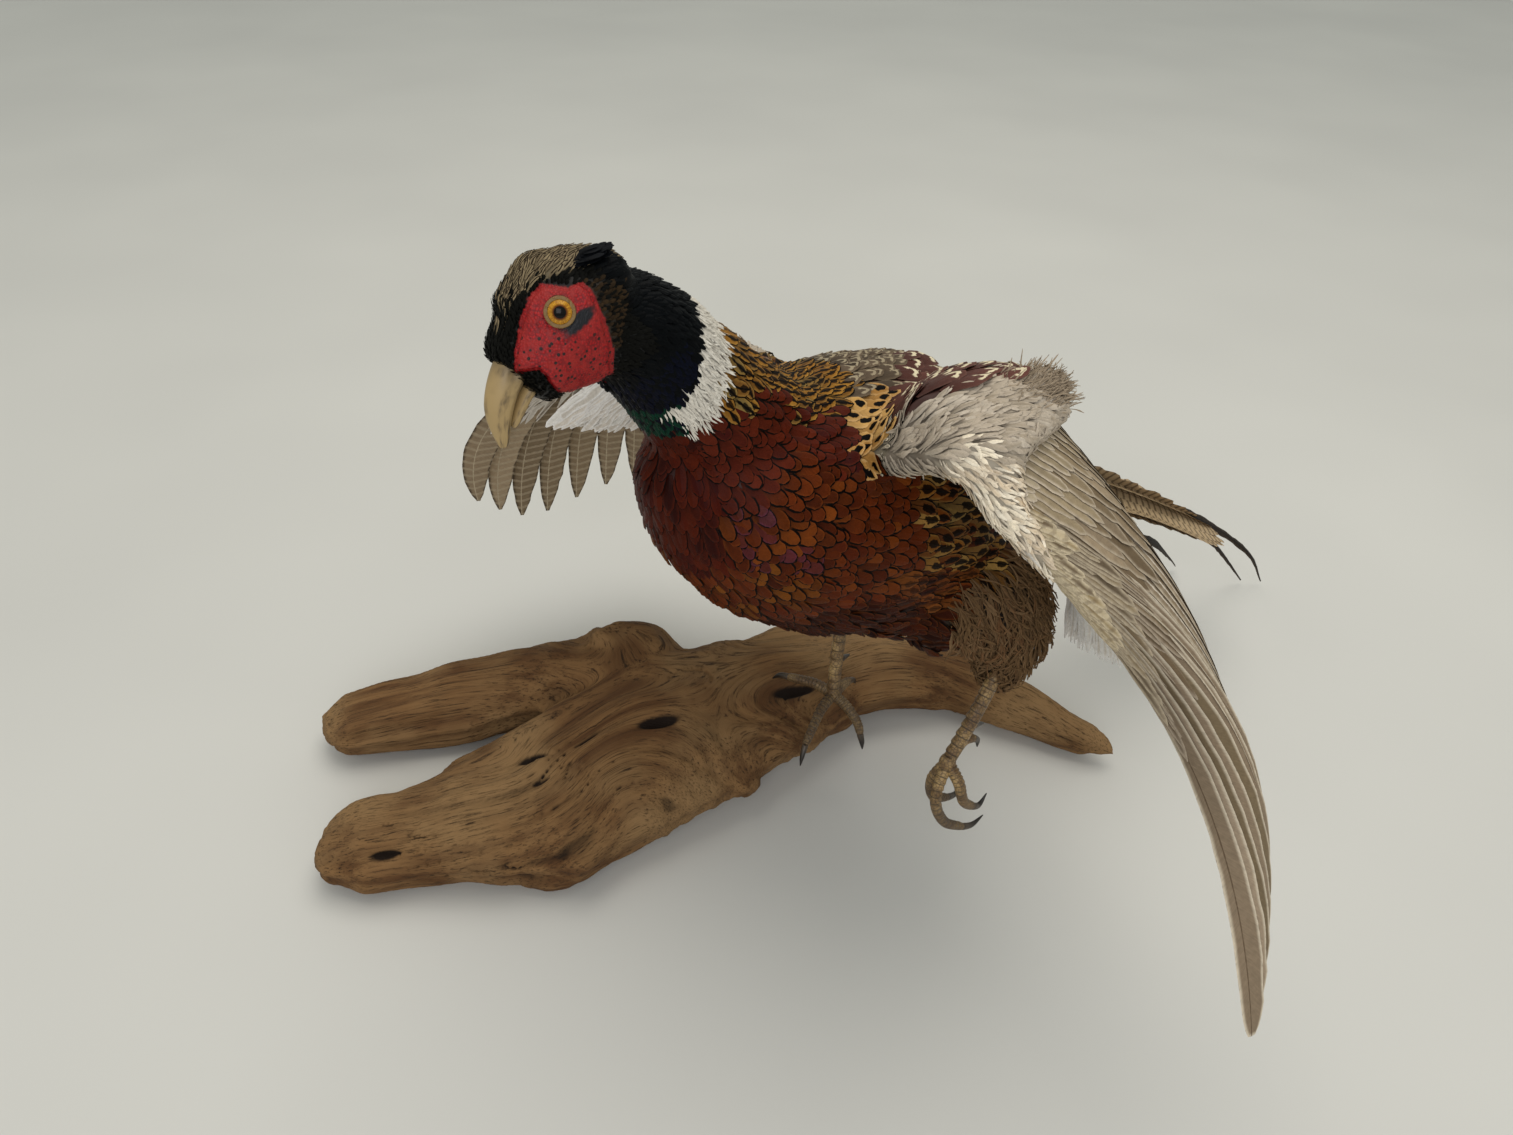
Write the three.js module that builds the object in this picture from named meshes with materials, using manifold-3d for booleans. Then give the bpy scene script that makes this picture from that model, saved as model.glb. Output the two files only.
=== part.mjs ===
// A cock pheasant mounted on driftwood: right foot planted, left foot raised, both wings
// half spread and arched down, tail sloping back to the table.
// Millimetres, +Z up. The bird looks along -X and its left side is -Y.
// The pieces are laid out about the middle of the trunk, and the finished group is then
// moved so that the origin is the middle of the footprint, on the underside of the wood.

import * as THREE from 'three';
import { mergeVertices } from 'three/addons/utils/BufferGeometryUtils.js';
import Module from 'manifold-3d';

const wasm = await Module();
wasm.setup();

// ---------- driving dimensions ----------

const GAP = 0.35;                 // clearance between pieces that touch
const EYE_DIAMETER = 10;
const BILL_LENGTH = 31;
const PRIMARIES = 10;             // flight feathers of the hand
const SECONDARIES = 11;           // flight feathers of the forearm
const AXILLARIES = 5;             // tufts of soft white feathers under the arm
const TAIL_FEATHERS = 11;
const TAIL_LENGTH = 350;
const TAIL_FAN = 0.08;            // radians each side of the middle feather
const VANE_THICKNESS = 1.3;
const TAIL_THICKNESS = 2;
const SOFT_THICKNESS = 4;         // of the downy plates under the arms
const HEAD_PITCH = 0.60;          // radians, bill down
const HEAD_YAW = 0.086;           // radians, towards the bird's left
const HEAD_ROLL = -0.121;         // radians, crown towards the right wing
const HEAD_CENTRE = new THREE.Vector3(-147.5, -5.6, 332.4);
const TARSUS_RADIUS = 3.4;
const TOE_RADIUS = 2.6;
const CLAW_RADII = [2, 1.5, 0.6];
const SPUR_RADII = [2.2, 0.7];

const UP = new THREE.Vector3(0, 0, 1);
const BACKWARD = new THREE.Vector3(1, 0, 0);
const vector = (x, y, z) => new THREE.Vector3(x, y, z);
const mirrored = (p) => vector(p.x, -p.y, p.z);

// ---------- from geometry to solids and back ----------

function mergedPositions(geometry) {
  const bare = geometry.clone();
  bare.deleteAttribute('normal');
  bare.deleteAttribute('uv');
  return mergeVertices(bare, 1e-4);
}

function signedVolume(geometry) {
  const p = geometry.attributes.position;
  const index = geometry.index.array;
  const corner = [vector(0, 0, 0), vector(0, 0, 0), vector(0, 0, 0)];
  let sum = 0;
  for (let i = 0; i < index.length; i += 3) {
    corner.forEach((c, k) => c.fromBufferAttribute(p, index[i + k]));
    sum += corner[0].dot(corner[1].clone().cross(corner[2])) / 6;
  }
  return sum;
}

function toSolid(geometry) {
  const merged = mergedPositions(geometry);
  const triangles = Uint32Array.from(merged.index.array);
  if (signedVolume(merged) < 0) {
    for (let i = 0; i < triangles.length; i += 3) {
      [triangles[i], triangles[i + 1]] = [triangles[i + 1], triangles[i]];
    }
  }
  const vertices = Float32Array.from(merged.attributes.position.array);
  const mesh = new wasm.Mesh({ numProp: 3, vertProperties: vertices, triVerts: triangles });
  return new wasm.Manifold(mesh);
}

function toGeometry(solid) {
  const mesh = solid.getMesh();
  const geometry = new THREE.BufferGeometry();
  geometry.setAttribute('position', new THREE.BufferAttribute(mesh.vertProperties, 3));
  geometry.setIndex(new THREE.BufferAttribute(mesh.triVerts, 1));
  return geometry;
}

const joined = (solids) => solids.reduce((whole, next) => whole.add(next));

// ---------- shapes ----------

const END_SHARE = 0.22;
const EDGE = 0.003;               // how near a curve's end counts as the end
const SMALL_STEP = 0.004;         // the step along a curve that a normal is taken over
const VANE_SHARE = 0.45;          // where a feather's tip is widest, across its own strip

// A smooth curve through numbers, read at 0 to 1.
function profile(values) {
  const curve = new THREE.SplineCurve(values.map((v, i) => new THREE.Vector2(i, v)));
  return (t) => curve.getPoint(t).y;
}

// A closed body of oval sections along a curve. A station is [centre, halfWidth, rise, drop]:
// rise and drop are the half heights above and below the centre line. `grow` swells it, to cut
// a neighbour clear. `blunt` is the power of the envelope that rounds both ends, down to
// END_SHARE of the section.
function loft(stations, { sides = 14, steps = 12, up = UP, grow = 0, blunt = 5 } = {}) {
  const path = new THREE.CatmullRomCurve3(stations.map((s) => s[0]), false, 'centripetal');
  const widthAt = profile(stations.map((s) => s[1]));
  const riseAt = profile(stations.map((s) => s[2]));
  const dropAt = profile(stations.map((s) => s[3] ?? s[2]));
  const geometry = mergedPositions(new THREE.CylinderGeometry(1, 1, 1, sides, steps));
  const position = geometry.attributes.position;
  for (let i = 0; i < position.count; i += 1) {
    const t = (1 - Math.cos(Math.PI * (position.getY(i) + 0.5))) / 2;
    const centre = path.getPoint(t);
    const tangent = path.getTangent(t);
    const normal = up.clone().addScaledVector(tangent, -up.dot(tangent)).normalize();
    const lateral = tangent.clone().cross(normal);
    const round = Math.max((1 - Math.abs(2 * t - 1) ** blunt) ** (1 / blunt), END_SHARE);
    const across = position.getX(i);
    const along = position.getZ(i);
    const height = along > 0 ? riseAt(t) : dropAt(t);
    const isEnd = t < EDGE || t > 1 - EDGE;
    const point = centre
      .addScaledVector(lateral, across * (widthAt(t) * round + grow))
      .addScaledVector(normal, along * (height * round + grow))
      .addScaledVector(tangent, isEnd ? Math.sign(2 * t - 1) * grow : 0);
    position.setXYZ(i, point.x, point.y, point.z);
  }
  return geometry;
}

// A row of flight feathers as one thin fingered plate. Each feather runs from the curve `roots`
// by way of `crests` to `tips`; `from` and `to` say which part of the row this plate is.
// `notch` gives how far, as a share of the length, the gap between two feathers runs in.
function featherPlate(row, { from, to, count, notch, rows = 7, thickness = VANE_THICKNESS }) {
  const curves = [row.roots, row.crests, row.tips].map(
    (points) => new THREE.CatmullRomCurve3(points, false, 'centripetal'),
  );
  const stops = [0, VANE_SHARE];
  const reach = [0, 1];
  const surface = (a, b) => {
    const [root, crest, tip] = curves.map((curve) => curve.getPoint(a));
    return new THREE.QuadraticBezierCurve3(root, crest, tip).getPoint(b);
  };
  const columns = count * stops.length;
  const box = mergedPositions(new THREE.BoxGeometry(1, 1, 1, columns, rows, 1));
  const position = box.attributes.position;
  for (let i = 0; i < position.count; i += 1) {
    const column = Math.round((position.getX(i) + 0.5) * columns);
    const feather = Math.floor(column / stops.length);
    const stop = column % stops.length;
    const a = from + ((to - from) * (feather + stops[stop])) / count;
    const inner = Math.min(Math.max(a, EDGE), 1 - EDGE);
    const b = (position.getY(i) + 0.5) * (1 - notch(inner) * (1 - reach[stop]));
    const point = surface(inner, b);
    const [left, right] = [Math.max(inner - SMALL_STEP, 0), Math.min(inner + SMALL_STEP, 1)];
    const [below, above] = [Math.max(b - SMALL_STEP, 0), Math.min(b + SMALL_STEP, 1)];
    const acrossStep = surface(right, b).sub(surface(left, b));
    const alongStep = surface(inner, above).sub(surface(inner, below));
    const normal = acrossStep.cross(alongStep).normalize();
    point.addScaledVector(normal, position.getZ(i) * thickness);
    position.setXYZ(i, point.x, point.y, point.z);
  }
  return box;
}

// ---------- the group ----------

const group = new THREE.Group();

function addPiece(name, solid, colour, roughness = 0.75) {
  const material = new THREE.MeshStandardMaterial({ color: colour, roughness, metalness: 0 });
  const mesh = new THREE.Mesh(toGeometry(solid), material);
  mesh.name = name;
  group.add(mesh);
  return mesh;
}

// ---------- trunk, neck and head ----------

const TRUNK = [
  [vector(-112, 0, 262), 20, 20, 18],
  [vector(-86, 0, 250), 42, 42, 40],
  [vector(-45, 0, 227), 55, 56, 56],
  [vector(0, 0, 208), 61, 68, 63],
  [vector(45, 0, 196), 55, 62, 52],
  [vector(85, 0, 194), 38, 38, 32],
  [vector(118, 0, 196), 20, 15, 15],
];
const trunkOptions = { sides: 20, steps: 11, blunt: 3.5 };

const NECK = [
  [vector(-58, 0, 254), 34, 34],
  [vector(-74, 0, 270), 30, 30],
  [vector(-92, -1, 292), 25, 24.5],
  [vector(-108, -2, 311), 22.5, 22],
  [vector(-122, -4, 326), 20, 19.5],
  [vector(-137, -6, 335), 15, 13.5],
];
const neckOptions = { sides: 14, steps: 8, blunt: 6 };

// The head is shaped looking along -X about its own middle, then tipped and turned into place.
const headPlace = new THREE.Matrix4()
  .makeRotationZ(HEAD_YAW)
  .multiply(new THREE.Matrix4().makeRotationY(-HEAD_PITCH))
  .multiply(new THREE.Matrix4().makeRotationX(HEAD_ROLL))
  .setPosition(HEAD_CENTRE);

const SKULL = [
  [vector(25, 0, 3), 12, 10, 13],
  [vector(14, 0, 3), 17, 17, 22],
  [vector(2, 0, 3), 18.5, 19.5, 25],
  [vector(-10, 0, 2), 17.5, 19, 22.5],
  [vector(-18, 0, 7), 15, 14.5, 9],
  [vector(-23, 0, 12), 10.5, 7.5, 2.5],
];
const UPPER_BILL = [
  [vector(-14, 0, 5), 6.5, 6.5, 4.5],
  [vector(-22, 0, 4.6), 6, 5.6, 4.2],
  [vector(-32, 0, -0.5), 4.6, 4.8, 3.8],
  [vector(-15 - BILL_LENGTH * 0.82, 0, -11), 1.4, 1.8, 1.6],
];
const LOWER_BILL = [
  [vector(-12, 0, -3.5), 5.4, 2.6, 3],
  [vector(-22, 0, -3.6), 4.8, 2.4, 2.6],
  [vector(-34, 0, -8.6), 2.2, 1.5, 1.7],
];
const EYE_PLACE = vector(-1, 12, 12.3);
const EAR_TUFTS = {
  left: [
    [vector(18, -9.5, 13.5), 3.6, 3],
    [vector(24, -10.5, 12), 3, 2.6],
    [vector(31, -12, 9.5), 0.9, 0.9],
  ],
  right: [
    [vector(14, 13, 8), 3.6, 3],
    [vector(20, 14, 5.5), 3, 2.6],
    [vector(27, 14, 2), 0.9, 0.9],
  ],
};

const inHead = (geometry) => toSolid(geometry.applyMatrix4(headPlace));

function sphereAt(place, radius) {
  return new THREE.SphereGeometry(radius, 12, 7).translate(place.x, place.y, place.z);
}

const eyePlaces = { left: mirrored(EYE_PLACE), right: EYE_PLACE };
const skullOptions = { sides: 16, steps: 8, blunt: 4 };
const billOptions = { sides: 10, steps: 7, blunt: 9 };

const upperBill = inHead(loft(UPPER_BILL, billOptions));
const lowerBill = inHead(loft(LOWER_BILL, billOptions))
  .subtract(inHead(loft(UPPER_BILL, { ...billOptions, grow: GAP })));
let skull = inHead(loft(SKULL, skullOptions))
  .subtract(inHead(loft(UPPER_BILL, { ...billOptions, grow: GAP })))
  .subtract(inHead(loft(LOWER_BILL, { ...billOptions, grow: GAP })));
for (const place of Object.values(eyePlaces)) {
  skull = skull.subtract(inHead(sphereAt(place, EYE_DIAMETER / 2 + GAP)));
}

const skullSwollen = inHead(loft(SKULL, { ...skullOptions, grow: GAP }));
const trunkSwollen = toSolid(loft(TRUNK, { ...trunkOptions, grow: GAP }));
const neck = toSolid(loft(NECK, neckOptions)).subtract(skullSwollen).subtract(trunkSwollen);
const neckSwollen = toSolid(loft(NECK, { ...neckOptions, grow: GAP }));

addPiece('head', skull, 0x2b2a30, 0.6);
addPiece('bill_upper', upperBill, 0xb9a684, 0.45);
addPiece('bill_lower', lowerBill, 0xa89575, 0.45);
for (const [side, place] of Object.entries(eyePlaces)) {
  addPiece(`eye_${side}`, inHead(sphereAt(place, EYE_DIAMETER / 2)), 0xb06a12, 0.05);
  const solid = inHead(loft(EAR_TUFTS[side], { sides: 6, steps: 4 }))
    .subtract(skullSwollen)
    .subtract(neckSwollen);
  addPiece(`ear_tuft_${side}`, solid, 0x0d0e12, 0.8);
}
addPiece('neck', neck, 0x14211f, 0.5);
addPiece('trunk', toSolid(loft(TRUNK, trunkOptions)), 0x7a3318, 0.6);

// ---------- legs ----------

const LEGS = {
  left: {
    thigh: [
      [vector(20, -34, 186), 30, 30],
      [vector(47, -50, 158), 27, 30],
      [vector(54, -58, 134), 20, 24],
      [vector(42, -64, 114), 8, 9],
    ],
    shank: [vector(42, -65, 124), vector(28, -66, 105), vector(12, -66, 84)],
    toes: [
      [vector(12, -66, 84), vector(4, -68, 67), vector(13, -69, 44), vector(29, -70, 29)],
      [vector(12, -66, 84), vector(13, -73, 76), vector(18, -75, 60), vector(27, -75, 50)],
      [vector(12, -66, 84), vector(10, -60, 68), vector(17, -58, 50), vector(29, -58, 41)],
      [vector(14, -66, 86), vector(24, -65, 90), vector(32, -65, 87)],
    ],
    claws: [
      [vector(37, -71, 26), vector(44, -72, 29)],
      [vector(33, -75, 47), vector(38, -75, 52)],
      [vector(36, -58, 39), vector(42, -58, 43)],
      [vector(36, -65, 83), vector(37, -65, 78)],
    ],
    spur: [vector(28, -66, 99), vector(37, -66, 95)],
  },
  right: {
    thigh: [
      [vector(20, 34, 186), 30, 30],
      [vector(46, 42, 156), 25, 29],
      [vector(46, 38, 128), 17, 20],
      [vector(34, 31, 104), 7, 8],
    ],
    shank: [vector(36, 31, 112), vector(33, 30, 80), vector(31, 29, 52)],
    toes: [
      [vector(31, 29, 51), vector(18, 25, 50), vector(6, 20, 45), vector(0, 18, 40)],
      [vector(31, 29, 51), vector(33, 20, 47), vector(34, 12, 40), vector(34, 9, 34)],
      [vector(31, 29, 51), vector(28, 40, 53), vector(24, 50, 52), vector(22, 56, 51)],
      [vector(31, 29, 51), vector(41, 31, 51), vector(48, 33, 49)],
    ],
    claws: [
      [vector(-4, 16, 35), vector(-6, 15, 30)],
      [vector(34, 7, 29), vector(34, 6, 24)],
      [vector(20, 61, 50), vector(18, 65, 46)],
      [vector(53, 34, 46), vector(56, 35, 41)],
    ],
    spur: [vector(36, 30, 74), vector(44, 31, 72)],
  },
};

const thighOptions = { sides: 12, steps: 8, up: BACKWARD };
const swollenThighs = {};
const swollenFeet = {};

// The stations of a toe, which tapers from a little over TOE_RADIUS to three quarters of it.
function toeStations(toe) {
  return toe.map((p, i) => {
    const radius = TOE_RADIUS * (1.1 - (0.35 * i) / (toe.length - 1));
    return [p, radius, radius];
  });
}

// A claw starts just past the end of its toe and narrows to its point.
function clawStations(toe, bend) {
  return [toe[toe.length - 1], ...bend].map((p, i) => [p, CLAW_RADII[i], CLAW_RADII[i]]);
}

function footSolid(leg, grow) {
  const shankStations = leg.shank.map((p) => [p, TARSUS_RADIUS, TARSUS_RADIUS]);
  const shank = loft(shankStations, { sides: 7, steps: 3, up: BACKWARD, grow });
  const toes = leg.toes.map((toe) => loft(toeStations(toe), { sides: 5, steps: 5, blunt: 10, grow }));
  return joined([shank, ...toes].map(toSolid));
}

function hornShapes(side, leg, grow) {
  const shapes = {};
  leg.toes.forEach((toe, i) => {
    const stations = clawStations(toe, leg.claws[i]);
    shapes[`claw_${side}_${i + 1}`] = toSolid(loft(stations, { sides: 5, steps: 3, blunt: 12, grow }));
  });
  const spurStations = leg.spur.map((p, i) => [p, SPUR_RADII[i], SPUR_RADII[i]]);
  shapes[`spur_${side}`] = toSolid(loft(spurStations, { sides: 5, steps: 2, grow }));
  return shapes;
}

for (const [side, leg] of Object.entries(LEGS)) {
  const thigh = toSolid(loft(leg.thigh, thighOptions)).subtract(trunkSwollen);
  addPiece(`thigh_${side}`, thigh, 0x6b4a2c, 0.85);
  swollenThighs[side] = toSolid(loft(leg.thigh, { ...thighOptions, grow: GAP }));
  const swollenHorn = Object.values(hornShapes(side, leg, GAP));
  let foot = footSolid(leg, 0).subtract(swollenThighs[side]);
  for (const part of swollenHorn) {
    foot = foot.subtract(part);
  }
  addPiece(`foot_${side}`, foot, 0x7d6c56, 0.6);
  for (const [name, part] of Object.entries(hornShapes(side, leg, 0))) {
    addPiece(name, part, 0x2c2622, 0.4);
  }
  swollenFeet[side] = joined([footSolid(leg, GAP), ...swollenHorn]);
}

// ---------- wings ----------

const WINGS = {
  left: {
    arm: [
      [vector(-12, -34, 264), 36, 12],
      [vector(-6, -54, 280), 36, 13],
      [vector(-12, -74, 288), 31, 12],
      [vector(-36, -92, 283), 15, 10],
      [vector(-33, -106, 264), 8, 8],
      [vector(-24, -126, 243), 4.5, 4],
    ],
    row: {
      roots: [
        vector(14, -68, 288), vector(-2, -76, 289), vector(-20, -84, 286), vector(-38, -92, 280),
        vector(-34, -106, 264), vector(-28, -119, 250), vector(-21, -131, 237),
      ],
      crests: [
        vector(25, -80, 260), vector(20, -114, 264), vector(16, -139, 258), vector(10, -153, 245),
        vector(12, -178, 229), vector(8, -192, 202), vector(10, -194, 179),
      ],
      tips: [
        vector(50, -130, 206), vector(42, -152, 200), vector(36, -170, 190), vector(34, -185, 173),
        vector(25, -207, 146), vector(5, -225, 117), vector(-20, -240, 92),
      ],
    },
    notch: 0.07,
    axillaries: {
      roots: [vector(26, -70, 266), vector(14, -78, 270), vector(0, -86, 272)],
      crests: [vector(78, -76, 200), vector(62, -92, 206), vector(42, -106, 214)],
      tips: [vector(92, -68, 122), vector(74, -96, 138), vector(54, -120, 158)],
    },
  },
  right: {
    arm: [
      [vector(-8, 34, 238), 32, 12],
      [vector(-8, 54, 238), 30, 11],
      [vector(-14, 76, 252), 26, 10],
      [vector(-38, 92, 274), 13, 9],
      [vector(-34, 110, 258), 8, 8],
      [vector(-26, 130, 238), 4.5, 4],
    ],
    row: {
      roots: [
        vector(14, 60, 244), vector(2, 72, 248), vector(-16, 82, 256), vector(-36, 92, 270),
        vector(-35, 108, 258), vector(-30, 121, 246), vector(-25, 134, 234),
      ],
      crests: [
        vector(52, 76, 206), vector(50, 104, 216), vector(44, 130, 222), vector(34, 160, 226),
        vector(12, 186, 214), vector(-26, 198, 206), vector(-82, 196, 204),
      ],
      tips: [
        vector(78, 76, 130), vector(76, 112, 126), vector(70, 150, 120), vector(58, 196, 110),
        vector(28, 236, 92), vector(-24, 246, 84), vector(-68, 236, 118),
      ],
    },
    notch: 0.17,
    axillaries: {
      roots: [vector(10, 62, 238), vector(-22, 86, 252), vector(-34, 112, 246)],
      crests: [vector(12, 104, 214), vector(-22, 116, 222), vector(-52, 130, 226)],
      tips: [vector(16, 150, 178), vector(-22, 150, 186), vector(-66, 152, 202)],
    },
  },
};
const WRIST_SHARE = 0.53;          // the share of the feather row that belongs to the forearm
const SEAM = 0.006;                // the parting between the two plates, in the same measure

for (const [side, wing] of Object.entries(WINGS)) {
  const armOptions = { sides: 12, steps: 9, blunt: 8 };
  const arm = toSolid(loft(wing.arm, armOptions)).subtract(trunkSwollen);
  const armSwollen = toSolid(loft(wing.arm, { ...armOptions, grow: GAP }));
  const plateFor = (row, options) => toSolid(featherPlate(row, options))
    .subtract(armSwollen)
    .subtract(trunkSwollen);
  addPiece(`wing_${side}_arm`, arm, 0x9a8f84, 0.85);
  const secondaries = plateFor(wing.row, {
    from: 0, to: WRIST_SHARE - SEAM, count: SECONDARIES, notch: () => 0.05, rows: 4,
  });
  const primaries = plateFor(wing.row, {
    from: WRIST_SHARE + SEAM, to: 1, count: PRIMARIES, notch: () => wing.notch, rows: 6,
  });
  const soft = plateFor(wing.axillaries, {
    from: 0, to: 1, count: AXILLARIES, notch: () => 0.1, rows: 4, thickness: SOFT_THICKNESS,
  });
  addPiece(`wing_${side}_secondaries`, secondaries, 0xb3a99a, 0.85);
  addPiece(`wing_${side}_primaries`, primaries, 0x8d8073, 0.85);
  addPiece(`wing_${side}_axillaries`, soft.subtract(swollenThighs[side]), 0xd8cfc4, 0.9);
}

// ---------- tail ----------

const TAIL_ROOT = vector(98, 0, 199);
const TAIL_ARCH = 45;             // how far the middle control point stands above the chord
const TAIL_ROOT_HALF_WIDTH = 10;
const TAIL_DROOP = 12;            // how far the outer feathers lie below the middle one at the root
const TAIL_CREST = 0.75;          // how far along the feather the middle control point lies
const TAIL_STEP = 0.62;           // how much shorter the outermost feather is, as a share
const TAIL_ROWS = 6;
const tailAxis = vector(285, -38, -197).normalize();
const tailAcross = tailAxis.clone().cross(UP).normalize();
const tailUp = tailAcross.clone().cross(tailAxis);

function tailRow() {
  const roots = [];
  const crests = [];
  const tips = [];
  for (let i = 0; i <= TAIL_ROWS; i += 1) {
    const a = (2 * i) / TAIL_ROWS - 1;
    const length = TAIL_LENGTH * (1 - TAIL_STEP * Math.abs(a) ** 0.9);
    const direction = tailAxis.clone().applyAxisAngle(tailUp, a * TAIL_FAN);
    const root = TAIL_ROOT.clone()
      .addScaledVector(tailAcross, -a * TAIL_ROOT_HALF_WIDTH)
      .addScaledVector(UP, -TAIL_DROOP * Math.abs(a));
    const droop = -TAIL_DROOP * Math.abs(a);
    const crest = root.clone().addScaledVector(direction, length * TAIL_CREST)
      .addScaledVector(UP, TAIL_ARCH + droop / 2);
    const tip = root.clone().addScaledVector(direction, length).addScaledVector(UP, droop);
    roots.push(root);
    crests.push(crest);
    tips.push(tip);
  }
  return { roots, crests, tips };
}

// The gaps between the tail feathers run in further in the middle of the tail.
const tailNotch = (a) => 0.1 + 0.1 * (1 - Math.abs(2 * a - 1));
const tail = toSolid(featherPlate(tailRow(), {
  from: 0, to: 1, count: TAIL_FEATHERS, notch: tailNotch, rows: 5, thickness: TAIL_THICKNESS,
}));
addPiece('tail', tail.subtract(trunkSwollen), 0x8a6f4a, 0.8);

// ---------- driftwood ----------

const WOOD = {
  nearBranch: [
    [vector(-227, 143, 14), 15, 13],
    [vector(-219, 137, 15), 22, 17],
    [vector(-205, 127, 16), 27, 20],
    [vector(-168, 106, 18), 43, 24],
    [vector(-130, 91, 20), 54, 26],
    [vector(-98, 97, 20), 40, 26],
    [vector(-30, 88, 22), 62, 28],
    [vector(35, 74, 24), 60, 26],
    [vector(90, 60, 22), 38, 24],
  ],
  farBranch: [
    [vector(-188, 222, 13), 15, 12],
    [vector(-178, 218, 15), 22, 16],
    [vector(-150, 206, 16), 24, 19],
    [vector(-100, 184, 17), 27, 23],
    [vector(-50, 160, 19), 28, 26],
    [vector(10, 118, 22), 44, 28],
  ],
  arm: [
    [vector(40, 76, 22), 40, 24],
    [vector(95, 52, 21), 31, 24],
    [vector(127, 16, 18), 22, 21],
    [vector(140, -25, 16), 17, 18],
    [vector(152, -84, 12), 10, 12],
  ],
  nearKnob: [
    [vector(-40, 66, 22), 20, 20],
    [vector(-34, 40, 20), 14, 14],
    [vector(-28, 26, 16), 9, 11],
  ],
  farKnob: [
    [vector(-10, 140, 28), 18, 20],
    [vector(-22, 155, 37), 14, 13],
    [vector(-35, 163, 43), 9, 8],
    [vector(-41, 165, 44), 6, 6],
  ],
  flare: [
    [vector(-141, 45, 7), 12, 8],
    [vector(-136, 66, 12), 27, 14],
    [vector(-130, 88, 18), 34, 20],
  ],
};

const woodOptions = { sides: 9, steps: 6 };
const wood = joined(Object.values(WOOD).map((stations) => toSolid(loft(stations, woodOptions))));
const belowTable = toSolid(new THREE.BoxGeometry(900, 900, 200).translate(0, 0, -100));
addPiece('driftwood', wood.subtract(belowTable).subtract(swollenFeet.right), 0x8a6848, 0.9);

// ---------- origin ----------

const bounds = new THREE.Box3().setFromObject(group);
const middle = bounds.getCenter(vector(0, 0, 0));
group.position.set(-middle.x, -middle.y, -bounds.min.z);

export default group;
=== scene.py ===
import itertools
import math

import bmesh
import bpy
import numpy as np
from mathutils import Matrix, Vector, noise
from mathutils.bvhtree import BVHTree


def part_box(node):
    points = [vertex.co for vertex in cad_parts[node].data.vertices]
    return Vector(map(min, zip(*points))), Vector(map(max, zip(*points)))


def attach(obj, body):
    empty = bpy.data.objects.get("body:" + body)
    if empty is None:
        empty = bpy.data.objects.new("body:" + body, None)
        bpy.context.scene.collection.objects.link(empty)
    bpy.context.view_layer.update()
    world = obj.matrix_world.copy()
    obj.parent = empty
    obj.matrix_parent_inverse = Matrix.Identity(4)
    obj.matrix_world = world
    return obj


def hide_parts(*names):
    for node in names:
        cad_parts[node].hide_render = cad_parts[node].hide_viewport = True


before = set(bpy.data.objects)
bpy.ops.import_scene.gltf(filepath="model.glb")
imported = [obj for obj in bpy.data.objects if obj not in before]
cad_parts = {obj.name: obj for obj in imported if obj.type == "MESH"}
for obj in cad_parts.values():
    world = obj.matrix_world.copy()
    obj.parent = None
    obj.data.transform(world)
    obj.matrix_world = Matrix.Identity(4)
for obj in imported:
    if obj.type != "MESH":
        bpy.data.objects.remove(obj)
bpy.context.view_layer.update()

# A cock pheasant mounted on driftwood. Shapes are laid out in the bird's own frame, in
# millimetres: it looks along -X, its left side is -Y, and Z is up from the table.

MM = 0.001
rng = np.random.default_rng(11)

# ---------- the bird's frame ----------

HEAD_CENTRE = np.array([-147.5, -5.6, 332.4])
HEAD_PITCH, HEAD_YAW, HEAD_ROLL = 0.60, 0.086, -0.121
EYE_PLACE = np.array([-1.0, -12.0, 12.3])
EYE_RADIUS = 5.0
head_turn = np.array(
    Matrix.Rotation(HEAD_YAW, 3, "Z")
    @ Matrix.Rotation(-HEAD_PITCH, 3, "Y")
    @ Matrix.Rotation(HEAD_ROLL, 3, "X")
)


def from_head(places):
    return np.asarray(places, float) @ head_turn.T + HEAD_CENTRE


def to_head(places):
    return (np.asarray(places, float) - HEAD_CENTRE) @ head_turn


low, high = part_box("eye_left")
SHIFT = (np.array(low) + np.array(high)) / 2 / MM - from_head(EYE_PLACE)


def metres(places):
    return (np.asarray(places, float) + SHIFT) * MM


def bird_mm(places):
    return np.asarray(places, float) / MM - SHIFT


def norm(vectors):
    return np.linalg.norm(vectors, axis=-1)


def unit(vectors):
    return vectors / np.maximum(np.linalg.norm(vectors, axis=-1, keepdims=True), 1e-9)


def dot(a, b):
    return (a * b).sum(-1)


def mirrored(place, side):
    """A place with its Y turned over where side is -1."""
    return np.array(place) * (1, side, 1)


def smoothstep(low_edge, high_edge, value):
    t = np.clip((value - low_edge) / (high_edge - low_edge), 0, 1)
    return t * t * (3 - 2 * t)


def wander(places, size, seed=0.0):
    """Smooth noise, -1 to 1, with features of about `size`."""
    scaled = np.asarray(places, float).reshape(-1, 3) / size + seed
    return np.array([noise.noise(p) for p in scaled.tolist()])


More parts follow.
